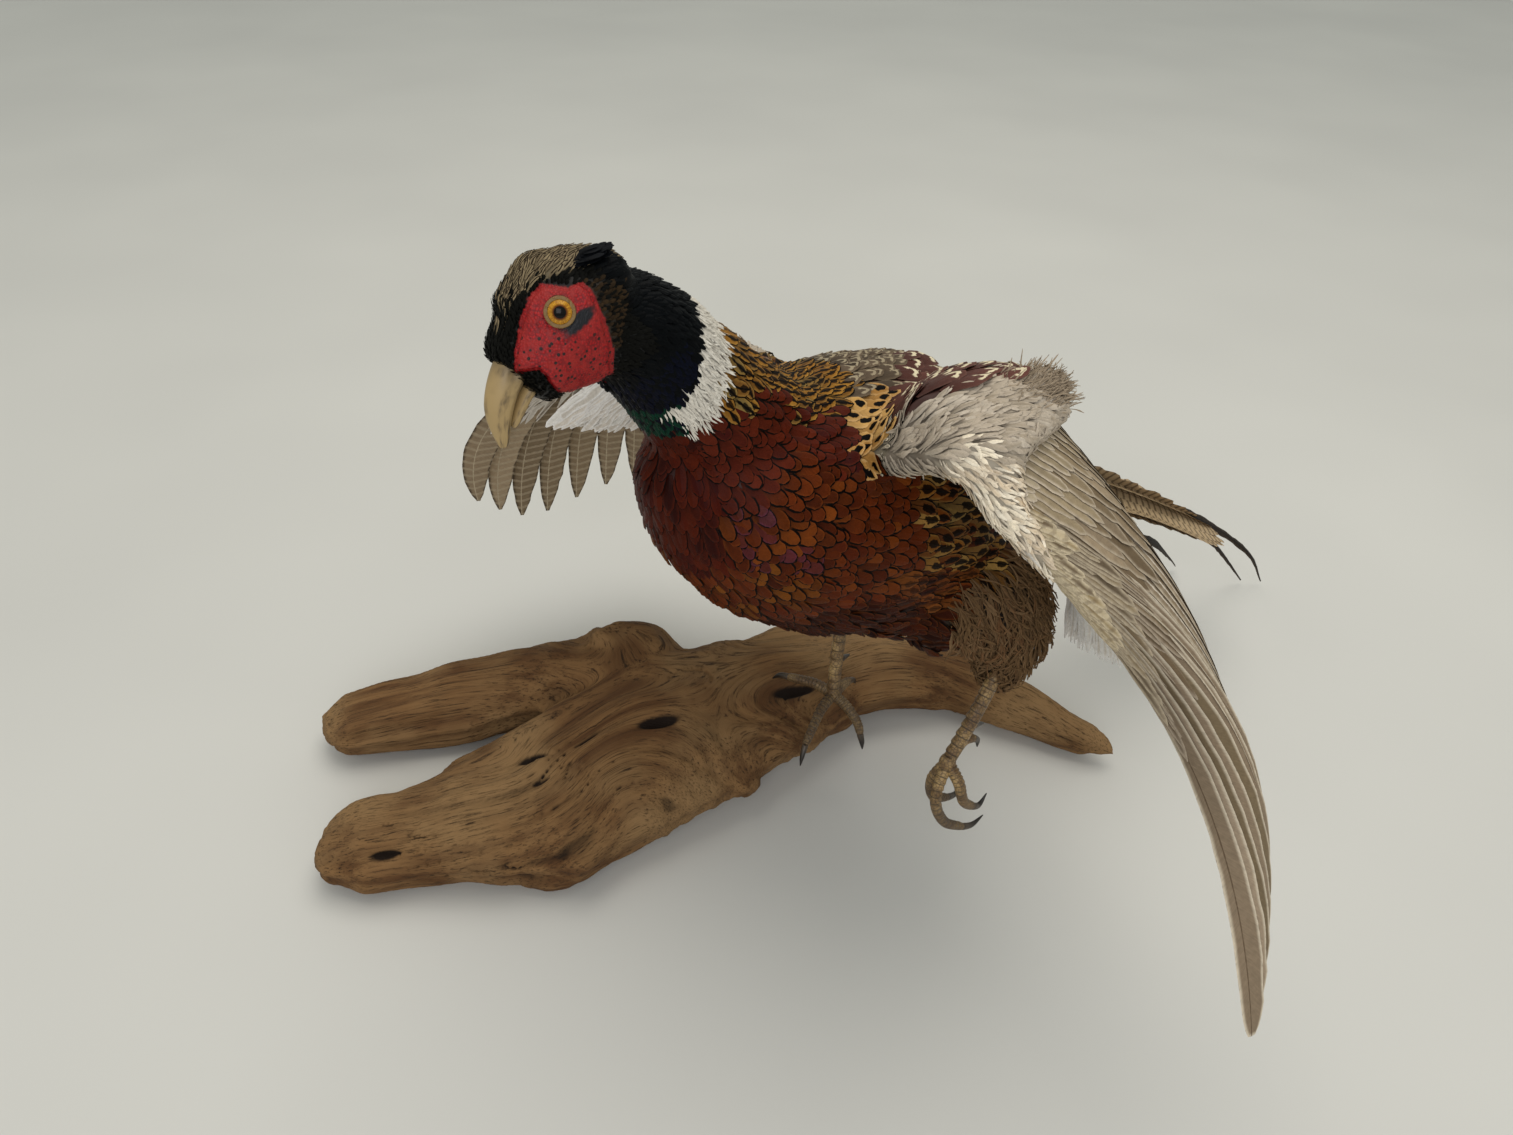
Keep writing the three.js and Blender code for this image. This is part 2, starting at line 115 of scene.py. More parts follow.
def spline(points, t):
    """Places on a centripetal curve through the points, at t from 0 to 1."""
    p = np.asarray(points, float)
    s = np.clip(np.asarray(t, float), 0, 1) * (len(p) - 1)
    i = np.minimum(s.astype(int), len(p) - 2)
    w = (s - i)[..., None]
    ring = np.vstack([2 * p[0] - p[1], p, 2 * p[-1] - p[-2]])
    p0, p1, p2, p3 = ring[i], ring[i + 1], ring[i + 2], ring[i + 3]
    d0, d1, d2 = (
        np.maximum(np.linalg.norm(b - a, axis=-1, keepdims=True) ** 0.5, 1e-6)
        for a, b in ((p0, p1), (p1, p2), (p2, p3))
    )
    m1 = ((p1 - p0) / d0 - (p2 - p0) / (d0 + d1) + (p2 - p1) / d1) * d1
    m2 = ((p2 - p1) / d1 - (p3 - p1) / (d1 + d2) + (p3 - p2) / d2) * d1
    return (
        p1
        + m1 * w
        + (3 * (p2 - p1) - 2 * m1 - m2) * w**2
        + (2 * (p1 - p2) + m1 + m2) * w**3
    )


def ink(code):
    """A hex colour as linear red, green and blue."""
    c = np.array([int(code[i : i + 2], 16) for i in (0, 2, 4)]) / 255
    return np.where(c < 0.04045, c / 12.92, ((c + 0.055) / 1.055) ** 2.4)


def rgba(code):
    return (*ink(code), 1)


# ---------- node building ----------


def feed(socket, value):
    """Link a socket to an output, or set it to a number or a hex colour."""
    if isinstance(value, bpy.types.NodeSocket):
        socket.id_data.links.new(value, socket)
    else:
        socket.default_value = rgba(value) if isinstance(value, str) else value


def put(tree, kind, inputs=None, **settings):
    node = tree.nodes.new(kind)
    for key, value in settings.items():
        setattr(node, key, value)
    for key, value in (inputs or {}).items():
        feed(node.inputs[key], value)
    return node


def tree_of(values):
    return next(v.id_data for v in values if isinstance(v, bpy.types.NodeSocket))


def maths(operation):
    """A function that adds one math node to the tree of its values."""

    def calc(*values):
        inputs = dict(enumerate(values))
        return put(tree_of(values), "ShaderNodeMath", inputs, operation=operation).outputs[0]

    return calc


plus, minus, times, over = maths("ADD"), maths("SUBTRACT"), maths("MULTIPLY"), maths("DIVIDE")
times_plus, size_of, power = maths("MULTIPLY_ADD"), maths("ABSOLUTE"), maths("POWER")
larger, smaller = maths("MAXIMUM"), maths("MINIMUM")


def step(value, low_edge, high_edge):
    """0 at the first edge and 1 at the second, whichever of them is higher."""
    inputs = {"Value": value, "From Min": low_edge, "From Max": high_edge}
    node = put(value.id_data, "ShaderNodeMapRange", inputs, interpolation_type="SMOOTHSTEP")
    return node.outputs["Result"]


def mix(factor, a, b, blend="MIX"):
    node = put(tree_of((factor, a, b)), "ShaderNodeMix", data_type="RGBA", blend_type=blend)
    for key, value in (("Factor_Float", factor), ("A_Color", a), ("B_Color", b)):
        feed(next(s for s in node.inputs if s.identifier == key), value)
    return next(s for s in node.outputs if s.identifier == "Result_Color")


def split(vector):
    return put(vector.id_data, "ShaderNodeSeparateXYZ", {0: vector}).outputs


def join(*values):
    return put(tree_of(values), "ShaderNodeCombineXYZ", dict(enumerate(values))).outputs[0]


def noise_at(place, scale, detail, **more):
    inputs = {"Vector": place, "Scale": scale, "Detail": detail, **more}
    return put(place.id_data, "ShaderNodeTexNoise", inputs).outputs["Fac"]


def cells_at(place, scale, randomness, **settings):
    """Distance in a pattern of cells."""
    inputs = {"Vector": place, "Scale": scale, "Randomness": randomness}
    return put(place.id_data, "ShaderNodeTexVoronoi", inputs, **settings).outputs["Distance"]


def object_place(tree):
    return put(tree, "ShaderNodeTexCoord").outputs["Object"]


def attribute(tree, name, out="Vector"):
    return put(tree, "ShaderNodeAttribute", attribute_name=name).outputs[out]


def new_material(name, roughness=0.6, **sockets):
    material = bpy.data.materials.new(name)
    material.use_nodes = True
    shader = material.node_tree.nodes["Principled BSDF"]
    shader.inputs["Roughness"].default_value = roughness
    for key, value in sockets.items():
        shader.inputs[key.replace("_", " ")].default_value = value
    return material, material.node_tree, shader.inputs


def add_bump(shader, height, strength, distance):
    inputs = {"Height": height, "Strength": strength, "Distance": distance}
    feed(shader["Normal"], put(height.id_data, "ShaderNodeBump", inputs).outputs["Normal"])


# What each point of a feather carries to its material.
VANE_VALUES = {
    "Vane": "Vector", "Span": "Vector", "Cut": "Vector", "Cut2": "Vector",
    "Ground": "Color", "Mark": "Color", "Fringe": "Color", "Width": "Float",
}


def make_feather_marks():
    """What is drawn on a feather: ground, barbs, a dark edge, a drop, a shaft line, bars and a
    pale crescent. Vane is across (-1 to 1), along (0 to 1) and a number of the feather's own."""
    group = bpy.data.node_groups.new("Feather marks", "ShaderNodeTree")
    for key, kind in VANE_VALUES.items():
        group.interface.new_socket(key, in_out="INPUT", socket_type=f"NodeSocket{kind}")
    for key, kind in {"Color": "Color", "Height": "Float", "Roughness": "Float"}.items():
        group.interface.new_socket(key, in_out="OUTPUT", socket_type=f"NodeSocket{kind}")
    given = group.nodes.new("NodeGroupInput").outputs
    out = group.nodes.new("NodeGroupOutput").inputs
    u, v, own = split(given["Vane"])
    x, y, period = split(given["Span"])
    edge, drop, shaft = split(given["Cut"])
    bars, crescent, downy = split(given["Cut2"])
    beside = size_of(x)
    to_side = times(given["Width"], minus(1.0, size_of(u)))
    length = over(y, larger(v, 0.02))
    rim = smaller(to_side, times(length, minus(1.0, v)))
    seed = times(own, 60.0)
    barb = noise_at(join(times_plus(beside, -1.1, y), times(x, 0.12), seed), 2.6, 2.0)
    wobble = minus(noise_at(join(x, y, seed), 0.5, 2.0), 0.5)

    def oval(centre, half_width, half_length):
        across = power(size_of(over(u, half_width)), 2.0)
        lengthwise = power(size_of(over(minus(v, centre), half_length)), 2.0)
        return times_plus(wobble, 1.1, maths("SQRT")(plus(across, lengthwise)))

    ground = mix(step(rim, 1.6, 0.1), given["Ground"], given["Fringe"])
    marks = times(maths("LESS_THAN")(times_plus(wobble, 0.5, rim), edge), step(v, 0.35, 0.6))
    drop_mask = times(step(oval(0.76, 0.46, 0.18), 1.08, 0.86), drop)
    ring = oval(0.72, 0.62, 0.2)
    ring_mask = times(step(ring, 0.5, 0.62), step(ring, 1.12, 1.02))
    ring_mask = times(times(ring_mask, crescent), step(v, 0.66, 0.74))
    band = times(shaft, times_plus(wobble, 2.2, 1.0))
    shaft_mask = times(step(minus(beside, band), 0.08, -0.08), step(shaft, 0.0, 0.1))
    shaft_mask = times(shaft_mask, step(v, 0.25, 0.45))
    slant = over(times_plus(beside, 0.4, y), period)
    wave = maths("SINE")(times_plus(slant, math.tau, times(wobble, 1.4)))
    bar_mask = times(step(wave, 0.1, 0.85), bars)
    for mask in (drop_mask, ring_mask, shaft_mask, bar_mask):
        marks = larger(marks, mask)
    colour = mix(marks, ground, given["Mark"])
    contrast = times_plus(downy, -0.45, 0.85)
    shade = times(times_plus(minus(barb, 0.5), contrast, 1.0), times_plus(wobble, 0.35, 1.0))
    # Darker towards the root: partly the grey down at a feather's base, partly painted shade under the
    # feathers that overlap it.
    depth = times_plus(downy, -0.35, 0.5)
    shade = times(shade, times_plus(minus(step(v, 0.1, 0.8), 1.0), depth, 1.04))
    grey = put(group, "ShaderNodeCombineColor", {0: shade, 1: shade, 2: shade}).outputs[0]
    feed(out["Color"], mix(1.0, colour, grey, "MULTIPLY"))
    feed(out["Height"], times_plus(step(beside, 0.7, 0.0), 0.6, barb))
    feed(out["Roughness"], times_plus(barb, 0.3, times_plus(downy, 0.35, 0.25)))
    return group


feather_marks = make_feather_marks()


def plumage_material(name, shine):
    material, tree, shader = new_material(name, Specular_IOR_Level=shine)
    marks = put(tree, "ShaderNodeGroup", node_tree=feather_marks)
    for key, kind in VANE_VALUES.items():
        value = attribute(tree, key.lower(), "Fac" if kind == "Float" else kind)
        feed(marks.inputs[key], value)
    feed(shader["Base Color"], marks.outputs["Color"])
    feed(shader["Roughness"], marks.outputs["Roughness"])
    add_bump(shader, marks.outputs["Height"], 0.35, 0.0004)
    return material


# ---------- meshes from arrays ----------


def mesh_of(name, places, triangles):
    mesh = bpy.data.meshes.new(name)
    mesh.vertices.add(len(places))
    mesh.vertices.foreach_set("co", metres(places).astype(np.float32).ravel())
    mesh.loops.add(triangles.size)
    mesh.loops.foreach_set("vertex_index", triangles.astype(np.int32).ravel())
    mesh.polygons.add(len(triangles))
    mesh.polygons.foreach_set("loop_start", np.arange(0, triangles.size, 3, dtype=np.int32))
    mesh.update(calc_edges=True)
    mesh.shade_smooth()
    return mesh


def set_values(mesh, name, kind, values):
    """Give each vertex a Float, a Vector or a Color."""
    values = np.asarray(values, np.float32)
    if kind == "Color":
        values = np.concatenate([values, np.ones((len(values), 1), np.float32)], 1)
    field, key = ("FLOAT", "value") if kind == "Float" else (f"FLOAT_{kind.upper()}", kind.lower())
    layer = mesh.attributes.new(name, field, "POINT")
    layer.data.foreach_set(key, values.ravel())


def set_map(mesh, per_vertex):
    corner = np.zeros(len(mesh.loops), np.int32)
    mesh.loops.foreach_get("vertex_index", corner)
    layer = mesh.uv_layers.new(name="OFBake")
    layer.uv.foreach_set("vector", np.asarray(per_vertex, np.float32)[corner].ravel())


def placed(name, data):
    thing = bpy.data.objects.new(name, data)
    bpy.context.scene.collection.objects.link(thing)
    return thing


def show(mesh, material, slot, replaces=()):
    """A piece of the model and the nodes it replaces. The material slot is not used."""
    mesh.materials.append(material)
    piece = placed(mesh.name, mesh)
    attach(piece, "root")
    if replaces:
        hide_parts(*replaces)


class Coat:
    """Feathers of one kind gathered into a single mesh. Each is a thin closed vane: a crowned
    top of rows and columns, and a flat underside that shares its rim."""

    def __init__(self, rows, columns):
        self.rows, self.columns = rows, columns
        self.parts = []

    def add(self, spine, side, up, half, cup, dress, home, ragged=0.0, patch=0.003, period=5.0):
        """spine, side and up are (feathers, rows, 3), half is (feathers, rows, 2) for the left
        and right half widths, home is each root's place on the unwrap and patch its size there."""
        count, size = len(spine), self.rows * self.columns
        u = np.linspace(-1, 1, self.columns)
        half = half * (1 + ragged * rng.uniform(-1, 1, half.shape))
        width = np.where(u < 0, half[..., :1], half[..., 1:])
        x = width * u
        crown = (1 - u**2) * np.asarray(cup, float).reshape(-1, 1, 1)
        places = (
            spine[:, :, None]
            + side[:, :, None] * x[..., None]
            + up[:, :, None] * crown[..., None]
        )
        steps = norm(np.diff(spine, axis=1))
        reach = np.concatenate([np.zeros((count, 1)), np.cumsum(steps, 1)], 1)
        v = reach / np.maximum(reach[:, -1:], 1e-6)
        own = rng.random(count)

        def stacked(*values):
            """Values for every vertex, side by side."""
            full = [np.broadcast_to(value, x.shape) for value in values]
            return np.stack(full, -1).reshape(-1, len(values))

        flat = {
            "places": places.reshape(-1, 3),
            "vane": stacked(u, v[..., None], own[:, None, None]),
            "span": stacked(x, reach[..., None], period),
            "width": width.ravel(),
            "map": np.repeat(home, size, 0) + stacked(u / 2, v[..., None]) * patch,
        }
        for key, value in dress.items():
            flat[key] = np.repeat(value, size, 0)
        self.parts.append(flat)

    def build(self, name, material, slot, replaces=()):
        whole = {key: np.concatenate([p[key] for p in self.parts]) for key in self.parts[0]}
        size = self.rows * self.columns
        at = np.arange(size).reshape(self.rows, self.columns)
        a, b, c, d = at[:-1, :-1], at[:-1, 1:], at[1:, 1:], at[1:, :-1]
        faces = [np.stack([a, b, c], -1).reshape(-1, 3), np.stack([a, c, d], -1).reshape(-1, 3)]
        left, right = at[:, 0], at[:, -1]
        faces.append(np.stack([left[:-1], right[1:], right[:-1]], -1))
        faces.append(np.stack([left[:-1], left[1:], right[1:]], -1))
        for k in range(1, self.columns - 1):
            faces.append([[at[0, 0], at[0, k + 1], at[0, k]]])
            faces.append([[at[-1, 0], at[-1, k], at[-1, k + 1]]])
        firsts = np.arange(0, len(whole["places"]), size)
        triangles = (np.concatenate(faces)[None] + firsts[:, None, None]).reshape(-1, 3)
        mesh = mesh_of(name, whole["places"], triangles)
        for key, kind in VANE_VALUES.items():
            set_values(mesh, key.lower(), kind, whole[key.lower()])
        set_map(mesh, whole["map"])
        # The rim is sharp, so that the underside doesn't shade the top.
        rim_pairs = np.zeros((size, size), bool)
        border = [*at[0], *at[1:, -1], *at[-1, -2::-1], *at[-2::-1, 0]]
        for i, j in zip(border[:-1], border[1:]):
            rim_pairs[i, j] = rim_pairs[j, i] = True
        ends = np.zeros(len(mesh.edges) * 2, np.int32)
        mesh.edges.foreach_get("vertices", ends)
        ends = ends.reshape(-1, 2) % size
        sharp = mesh.attributes.new("sharp_edge", "BOOLEAN", "EDGE")
        sharp.data.foreach_set("value", rim_pairs[ends[:, 0], ends[:, 1]])
        show(mesh, material, slot, replaces)


# ---------- looks of the small feathers ----------


def look(spacing, length, width, lift, ragged, inks, mark, fringe, downy, **marks):
    """How feathers of one kind look: millimetres for their sizes, raggedness and lift at the tip,
    the inks of the ground, and the marks' edge in mm, drop, shaft, bars and crescent."""
    sizes = {"spacing": spacing, "length": length, "width": width, "lift": lift, "ragged": ragged}
    colours = {"inks": [ink(code) for code in inks.split()], "mark": ink(mark), "fringe": ink(fringe)}
    return {**sizes, **colours, "downy": downy, **marks}


LOOKS = {
    "forehead": look(1.15, 3.4, 1.3, 0.9, 0.2, "040505 0b0c0a", "000000", "14130f", 0.5),
    "crown": look(1.5, 5.5, 1.5, 1, 0.3, "766850 908062 5a4c38", "2a2118", "85755c", 0.6, shaft=0.25),
    "ear": look(1.3, 4.2, 1.3, 0.8, 0.3, "2c2116 3a2c1b 1a140d", "120e09", "33271a", 0.6),
    "hood": look(1.65, 6.5, 2.2, 1.2, 0.2, "020304 050709 030405", "000000", "080b0e", 0.2),
    # Painted sheen: the blue and green of these two are the black hood's iridescence as fixed tints in the
    # feathers' colour.
    "hood_blue_sheen": look(1.7, 6.6, 2.4, 1.3, 0.15, "03040a 05070f 05050b", "000000", "0a0f22", 0.1),
    "hood_green_sheen": look(1.8, 6.8, 2.6, 1.3, 0.15, "03100a 062218 04100c", "000000", "0b3d2c", 0.1),
    "ring": look(1.15, 9, 0.9, 1.4, 0.5, "cfc8ba bdb4a5 e0dace 9c9384", "8a8478", "e6e1d6", 0.4),
    "mantle": look(3.8, 13, 6.4, 1.9, 0.08,
        "84551a 936624 69441a 756035", "090604", "ad8440", 0.4, edge=0.6, drop=0.9, shaft=0.5),
    "shoulder": look(3.8, 12, 6.4, 1.9, 0.06,
        "461508 511b0a 3a0e08", "050201", "612812", 0.25, edge=0.75),
    "breast": look(4.2, 13, 7.2, 2, 0.06,
        "4e1b05 5a2507 3f1503 6c340c", "040100", "7a3d15", 0.25, edge=0.9),
    # Painted sheen: the breast's purple iridescence as a fixed tint in the feathers' colour.
    "violet": look(4, 12, 6.6, 1.9, 0.05,
        "3d161c 461f22 4a1b0b 4d1f22", "070203", "613248", 0.1, edge=0.7),
    "front": look(3.6, 13, 5.4, 1.2, 0.08,
        "330803 3d0d03 471403 290602", "070101", "521a06", 0.25, edge=0.4),
    "lower": look(4.2, 13, 6.4, 2, 0.1,
        "4b1b05 5a2507 3c1303 693a0e", "050201", "753f14", 0.3, edge=0.75),
    "belly": look(4.4, 14, 6.2, 2, 0.15,
        "2b0b03 3a1404 1b0502 4f2207", "040100", "653410", 0.3, edge=0.6),
    "straw": look(5.6, 21, 8.4, 2.4, 0.12,
        "63330d 7f5521 8c6d3a 552709 7b6135 461d07", "050201", "93763f", 0.3,
        edge=0.8, drop=0.95, shaft=0.25),
    "rust": look(5.2, 17, 7.2, 2.3, 0.1,
        "491b04 572609 6c3d18 320e03", "050201", "764218", 0.3, edge=0.7, drop=0.6, shaft=0.2),
    "thigh": look(2.1, 17, 1.3, 6.2, 0.8, "3a2815 4a3720 281c10 64503a 4c2812", "1c120a", "86694a", 0.85),
    "vent": look(2.8, 15, 2, 3.4, 0.5, "3e2617 4e3420 2c1a0f", "180e08", "5f432c", 0.85),
    "back": look(4.4, 15, 7, 2, 0.15, "4c4034 5a4c3e 40362c", "a89a80", "7a6a56", 0.5, crescent=0.8),
    "rump": look(4.4, 17, 5.6, 2.2, 0.3,
        "6f6238 7d6c40 5f5a3a 86562c", "2c2414", "8a6a3a", 0.7, shaft=0.3),
    "scapular": look(8.6, 21, 13.5, 2.4, 0.04,
        "4c2c26 5e3a33 402420", "dccfb0", "6c4c42", 0.3, crescent=1),
    "buff": look(5.2, 14, 8, 2, 0.06, "b08446 c0985c a0743c", "060403", "d0ac78", 0.4, drop=1),
    "bib": look(2, 9, 2, 1.6, 0.4,
        "9c8f78 c0b49c 6d604c d6ccb8", "0c0a08", "d8cebb", 0.6, edge=0.3, drop=0.4),
    "soft": look(2.1, 11, 2.5, 2, 0.4, "a69886 b2a492 9a8c79 c2b6a6", "5c5248", "bcb0a0", 0.6),
    "cream": look(1.8, 8, 1.6, 1.6, 0.45, "e6d6ba f0e4cf c2a57c 8e7250", "6d5d48", "f0e6d4", 0.7),
    "underwing": look(2, 11, 1.8, 1.8, 0.5, "c9c0b4 d8d1c7 b5aa9c", "8a7d6e", "e2dcd2", 0.7),
    "bare": look(2, 1, 0.5, 0.3, 0, "b02024", "000000", "b02024", 0.3),
}
look_number = {name: i for i, name in enumerate(LOOKS)}

# Where each look is worn: place, radius and the way the feathers lie. In a pair the other side
# wears it too.
PAIR, ALONE = (1, -1), (1,)
SITES = [
    ("mantle", PAIR, (-80, -8, 306, 15, 0.8, -0.1, -0.55), (-60, -3, 290, 21, 1, 0, -0.4),
     (-35, 0, 281, 17, 1, 0, -0.2)),
    ("shoulder", PAIR, (-78, -29, 290, 12, 0.9, -0.2, -0.5), (-58, -34, 274, 14, 0.9, -0.2, -0.45),
     (-95, -27, 276, 13, 0.7, -0.2, -0.8)),
    ("breast", PAIR, (-72, -41, 256, 18, 0.85, -0.1, -0.6), (-58, -50, 232, 20, 0.9, 0, -0.45),
     (-38, -50, 250, 14, 0.95, 0, -0.35), (-36, -56, 222, 13, 0.95, 0, -0.35)),
    # Where the painted purple sheen is worn.
    ("violet", PAIR, (-92, -33, 250, 10, 0.6, -0.1, -0.85), (-80, -44, 236, 7, 0.8, -0.1, -0.6)),
    ("front", PAIR, (-110, -2, 262, 20, 0.2, 0, -1), (-108, -10, 240, 18, 0.45, 0, -0.9)),
    ("lower", PAIR, (-97, -18, 218, 17, 0.75, 0, -0.6), (-76, -34, 212, 15, 0.9, 0, -0.4)),
    ("belly", PAIR, (-58, -30, 186, 17, 1, 0, -0.15), (-30, -42, 182, 15, 1, 0, -0.05),
     (-50, 0, 168, 24, 1, 0, -0.1), (0, -30, 158, 22, 1, 0, 0)),
    ("rust", PAIR, (-28, -57, 204, 10, 1, 0, -0.2), (-4, -52, 188, 12, 1, 0, -0.25)),
    ("straw", PAIR, (-22, -53, 240, 11, 0.95, -0.1, -0.4), (-20, -58, 222, 10, 0.95, -0.1, -0.4),
     (24, -58, 200, 12, 0.9, -0.1, -0.4), (4, -58, 218, 15, 0.95, -0.1, -0.4),
     (0, -56, 240, 14, 0.95, -0.1, -0.3), (26, -52, 222, 14, 0.95, -0.1, -0.3)),
    ("thigh", PAIR, (30, -62, 172, 19, 0.2, -0.1, -1), (50, -66, 152, 20, 0.1, -0.1, -1),
     (50, -60, 130, 18, -0.4, 0, -1)),
    ("thigh", ALONE, (46, 38, 120, 16, -0.3, 0, -1)),
    ("vent", PAIR, (50, 0, 152, 28, 1, 0, 0.1), (84, 0, 168, 20, 1, 0, 0.2)),
    ("rump", PAIR, (40, 0, 255, 26, 1, 0, -0.25), (75, 0, 230, 22, 1, 0, -0.2),
     (70, -30, 212, 20, 1, 0, -0.2), (108, 0, 205, 18, 1, 0, -0.4)),
    ("back", ALONE, (-16, -2, 276, 12, 1, 0, -0.15), (-9, 11, 274, 13, 1, 0, -0.15),
     (2, 6, 275, 11, 1, 0, -0.15), (-28, -13, 276, 6, 1, -0.1, -0.1), (20, 22, 268, 14, 1, 0, -0.15)),
    ("scapular", ALONE, (17, -6, 271, 12, 0.95, -0.25, 0), (2, -22, 271, 12, 0.9, -0.4, 0.05),
     (-19, -38, 279, 13, 0.85, -0.45, 0.1), (-12, -61, 297, 9, 0.85, -0.45, 0.15)),
    ("soft", ALONE, (5, -67, 295, 12, 0.85, -0.4, 0.1)),
    ("scapular", ALONE, (4, -45, 285, 14, 0.85, -0.4, 0.1), (22, -30, 268, 12, 0.9, -0.3, 0),
     (-30, -56, 293, 6, 0.8, -0.5, 0.1)),
    ("buff", ALONE, (-10, -19, 273, 5, 0.75, -0.6, 0.1), (-22, -18, 275, 6, 0.7, -0.6, -0.1),
     (-35, -26, 272, 9, 0.6, -0.6, -0.4), (-43, -36, 265, 7, 0.5, -0.5, -0.6)),
    ("scapular", ALONE, (-33, -45, 284, 7, 0.8, -0.5, 0)),
    ("breast", ALONE, (-44, -46, 252, 9, 0.7, -0.3, -0.6)),
    ("bib", ALONE, (-36, -50, 266, 7, 0.5, -0.6, -0.5)),
    ("soft", ALONE, (-40, -68, 287, 9, 0.75, -0.6, 0.1), (-24, -80, 297, 12, 0.8, -0.45, 0.15),
     (-4, -86, 292, 15, 0.8, -0.45, 0), (-28, -92, 290, 10, 0.75, -0.6, -0.2)),
    ("cream", ALONE, (-46, -92, 281, 8, 0.55, -0.6, -0.55), (-42, -108, 266, 9, 0.5, -0.6, -0.6),
     (-33, -122, 250, 9, 0.5, -0.6, -0.65), (-36, -101, 283, 6, 0.6, -0.6, -0.4)),
    ("soft", ALONE, (12, -82, 292, 13, 0.7, -0.4, 0.3), (-42, -62, 275, 8, 0.7, -0.65, -0.2),
     (-44, -74, 281, 7, 0.7, -0.65, -0.2)),
    ("cream", ALONE, (-45, -80, 276, 5, 0.5, -0.6, -0.6), (-42, -62, 266, 5, 0.5, -0.6, -0.6)),
    ("underwing", ALONE, (-18, -58, 262, 14, 0.6, -0.5, -0.3), (-38, -84, 270, 8, 0.6, -0.5, -0.4),
     (-28, -108, 252, 7, 0.6, -0.5, -0.5)),
    ("scapular", ALONE, (0, 46, 252, 16, 0.85, 0.4, 0)),
    ("buff", ALONE, (-38, 38, 268, 12, 0.6, 0.5, -0.45)),
    ("soft", ALONE, (-4, 70, 262, 17, 0.8, 0.4, -0.1), (-26, 84, 278, 12, 0.7, 0.55, -0.2)),
    ("cream", ALONE, (-47, 92, 278, 9, 0.55, 0.6, -0.5), (-42, 112, 262, 9, 0.5, 0.6, -0.6),
     (-32, 130, 242, 9, 0.5, 0.6, -0.65)),
    ("underwing", ALONE, (-8, 60, 226, 16, 0.6, 0.5, -0.3), (-28, 88, 260, 9, 0.6, 0.5, -0.4),
     (-28, 112, 246, 8, 0.6, 0.5, -0.5)),
]
# Ways that the feathers lie on the head, in the head's own frame: place, radius, way.
HEAD_FLOW = [
    ((-20, 0, 6), 9, (0.5, 0, 0.9)),
    ((-8, 0, 17), 10, (0.9, 0, 0.35)),
    ((8, 0, 21), 12, (1, 0, -0.1)),
    ((24, 0, 10), 12, (0.8, 0, -0.5)),
    ((0, -18, 4), 11, (1, 0, -0.15)),
    ((0, 18, 4), 11, (1, 0, -0.15)),
    ((16, -17, 0), 12, (0.95, 0, -0.3)),
    ((16, 17, 0), 12, (0.95, 0, -0.3)),
    ((-8, 0, -16), 12, (1, 0, -0.1)),
    ((8, 0, -18), 12, (1, 0, 0.1)),
]
NECK_FLOW = [
    ((-128, -3, 330), 22, (0.62, 0, -0.78)),
    ((-108, -2, 311), 24, (0.62, 0.03, -0.78)),
    ((-90, -1, 290), 22, (0.66, 0.02, -0.75)),
]

sites = [
    (look_number[name], mirrored((x, y, z), side), radius, mirrored(way, side))
    for name, sides, *rows in SITES
    for x, y, z, radius, *way in rows
    for side in (sides if y else ALONE)
]
site_looks = np.array([site[0] for site in sites])
flow = [site[1:] for site in sites]
flow += [(from_head(place), radius, np.array(way) @ head_turn.T) for place, radius, way in HEAD_FLOW]
flow += NECK_FLOW
flow_places, flow_radii, flow_ways = (np.array(column, float) for column in zip(*flow))
flow_ways = unit(flow_ways)
site_places, site_radii = flow_places[: len(sites)], flow_radii[: len(sites)]


def lie_at(places, normals):
    """The way feathers lie on the skin at these places, along its surface."""
    away = norm(places[:, None] - flow_places[None]) / flow_radii
    weight = np.exp(-1.2 * away**2) + 1e-9 / (1 + away**4)
    way = weight @ flow_ways
    return unit(way - normals * dot(way, normals)[:, None])


# ---------- the face and the neck ring ----------

# Across and up over the cheek, in the head's frame, with the eye as the origin.
CHEEK_ACROSS = np.array([0.612, -0.5634, -0.5814])
CHEEK_UP = np.array([0.7583, 0.2177, 0.6545])
BARE_OUTLINE = np.array([
    (-5.8, 8.2), (0.2, 7.4), (2.5, 6.7), (6.3, 8.9), (9.3, 6.7), (13.9, -3.2), (16.9, -12.3),
    (16.8, -20.5), (12.5, -26.5), (4.5, -28.0), (-1.0, -24.5), (-4.0, -19.5), (-6.0, -17.5),
    (-13.4, -18.6), (-13.4, -12.3), (-11.9, -3.2), (-8.9, 4.4),
])
CROWN_EDGE = (
    [-24, -18, -14.6, -11, -6.7, 0, 6.7, 12.4],
    [-17, -10, -1, 5, 8.8, 10.8, 12.5, 16.5],
)
# The neck ring's edges along the neck, in mm: at the side, and more for each mm up to the nape.
RING_FRONT, RING_BACK = (-6.5, -0.46), (10.5, -0.42)
NECK_RADIUS = 42
NECK_MIDDLE = np.array([-108.0, -2.0, 311.0])
NECK_WAY = np.array([0.638, 0.04, -0.769])
NAPE_WAY = np.array([0.769, 0.0, 0.638])


def cheek(places):
    """Across and up over the cheek, the place in the head's frame with the right side folded
    onto the left, and whether it was on the right."""
    own = to_head(places)
    right = own[:, 1] > 0
    own[:, 1] = -np.abs(own[:, 1])
    from_eye = own - EYE_PLACE
    return from_eye @ CHEEK_ACROSS, from_eye @ CHEEK_UP, own, right


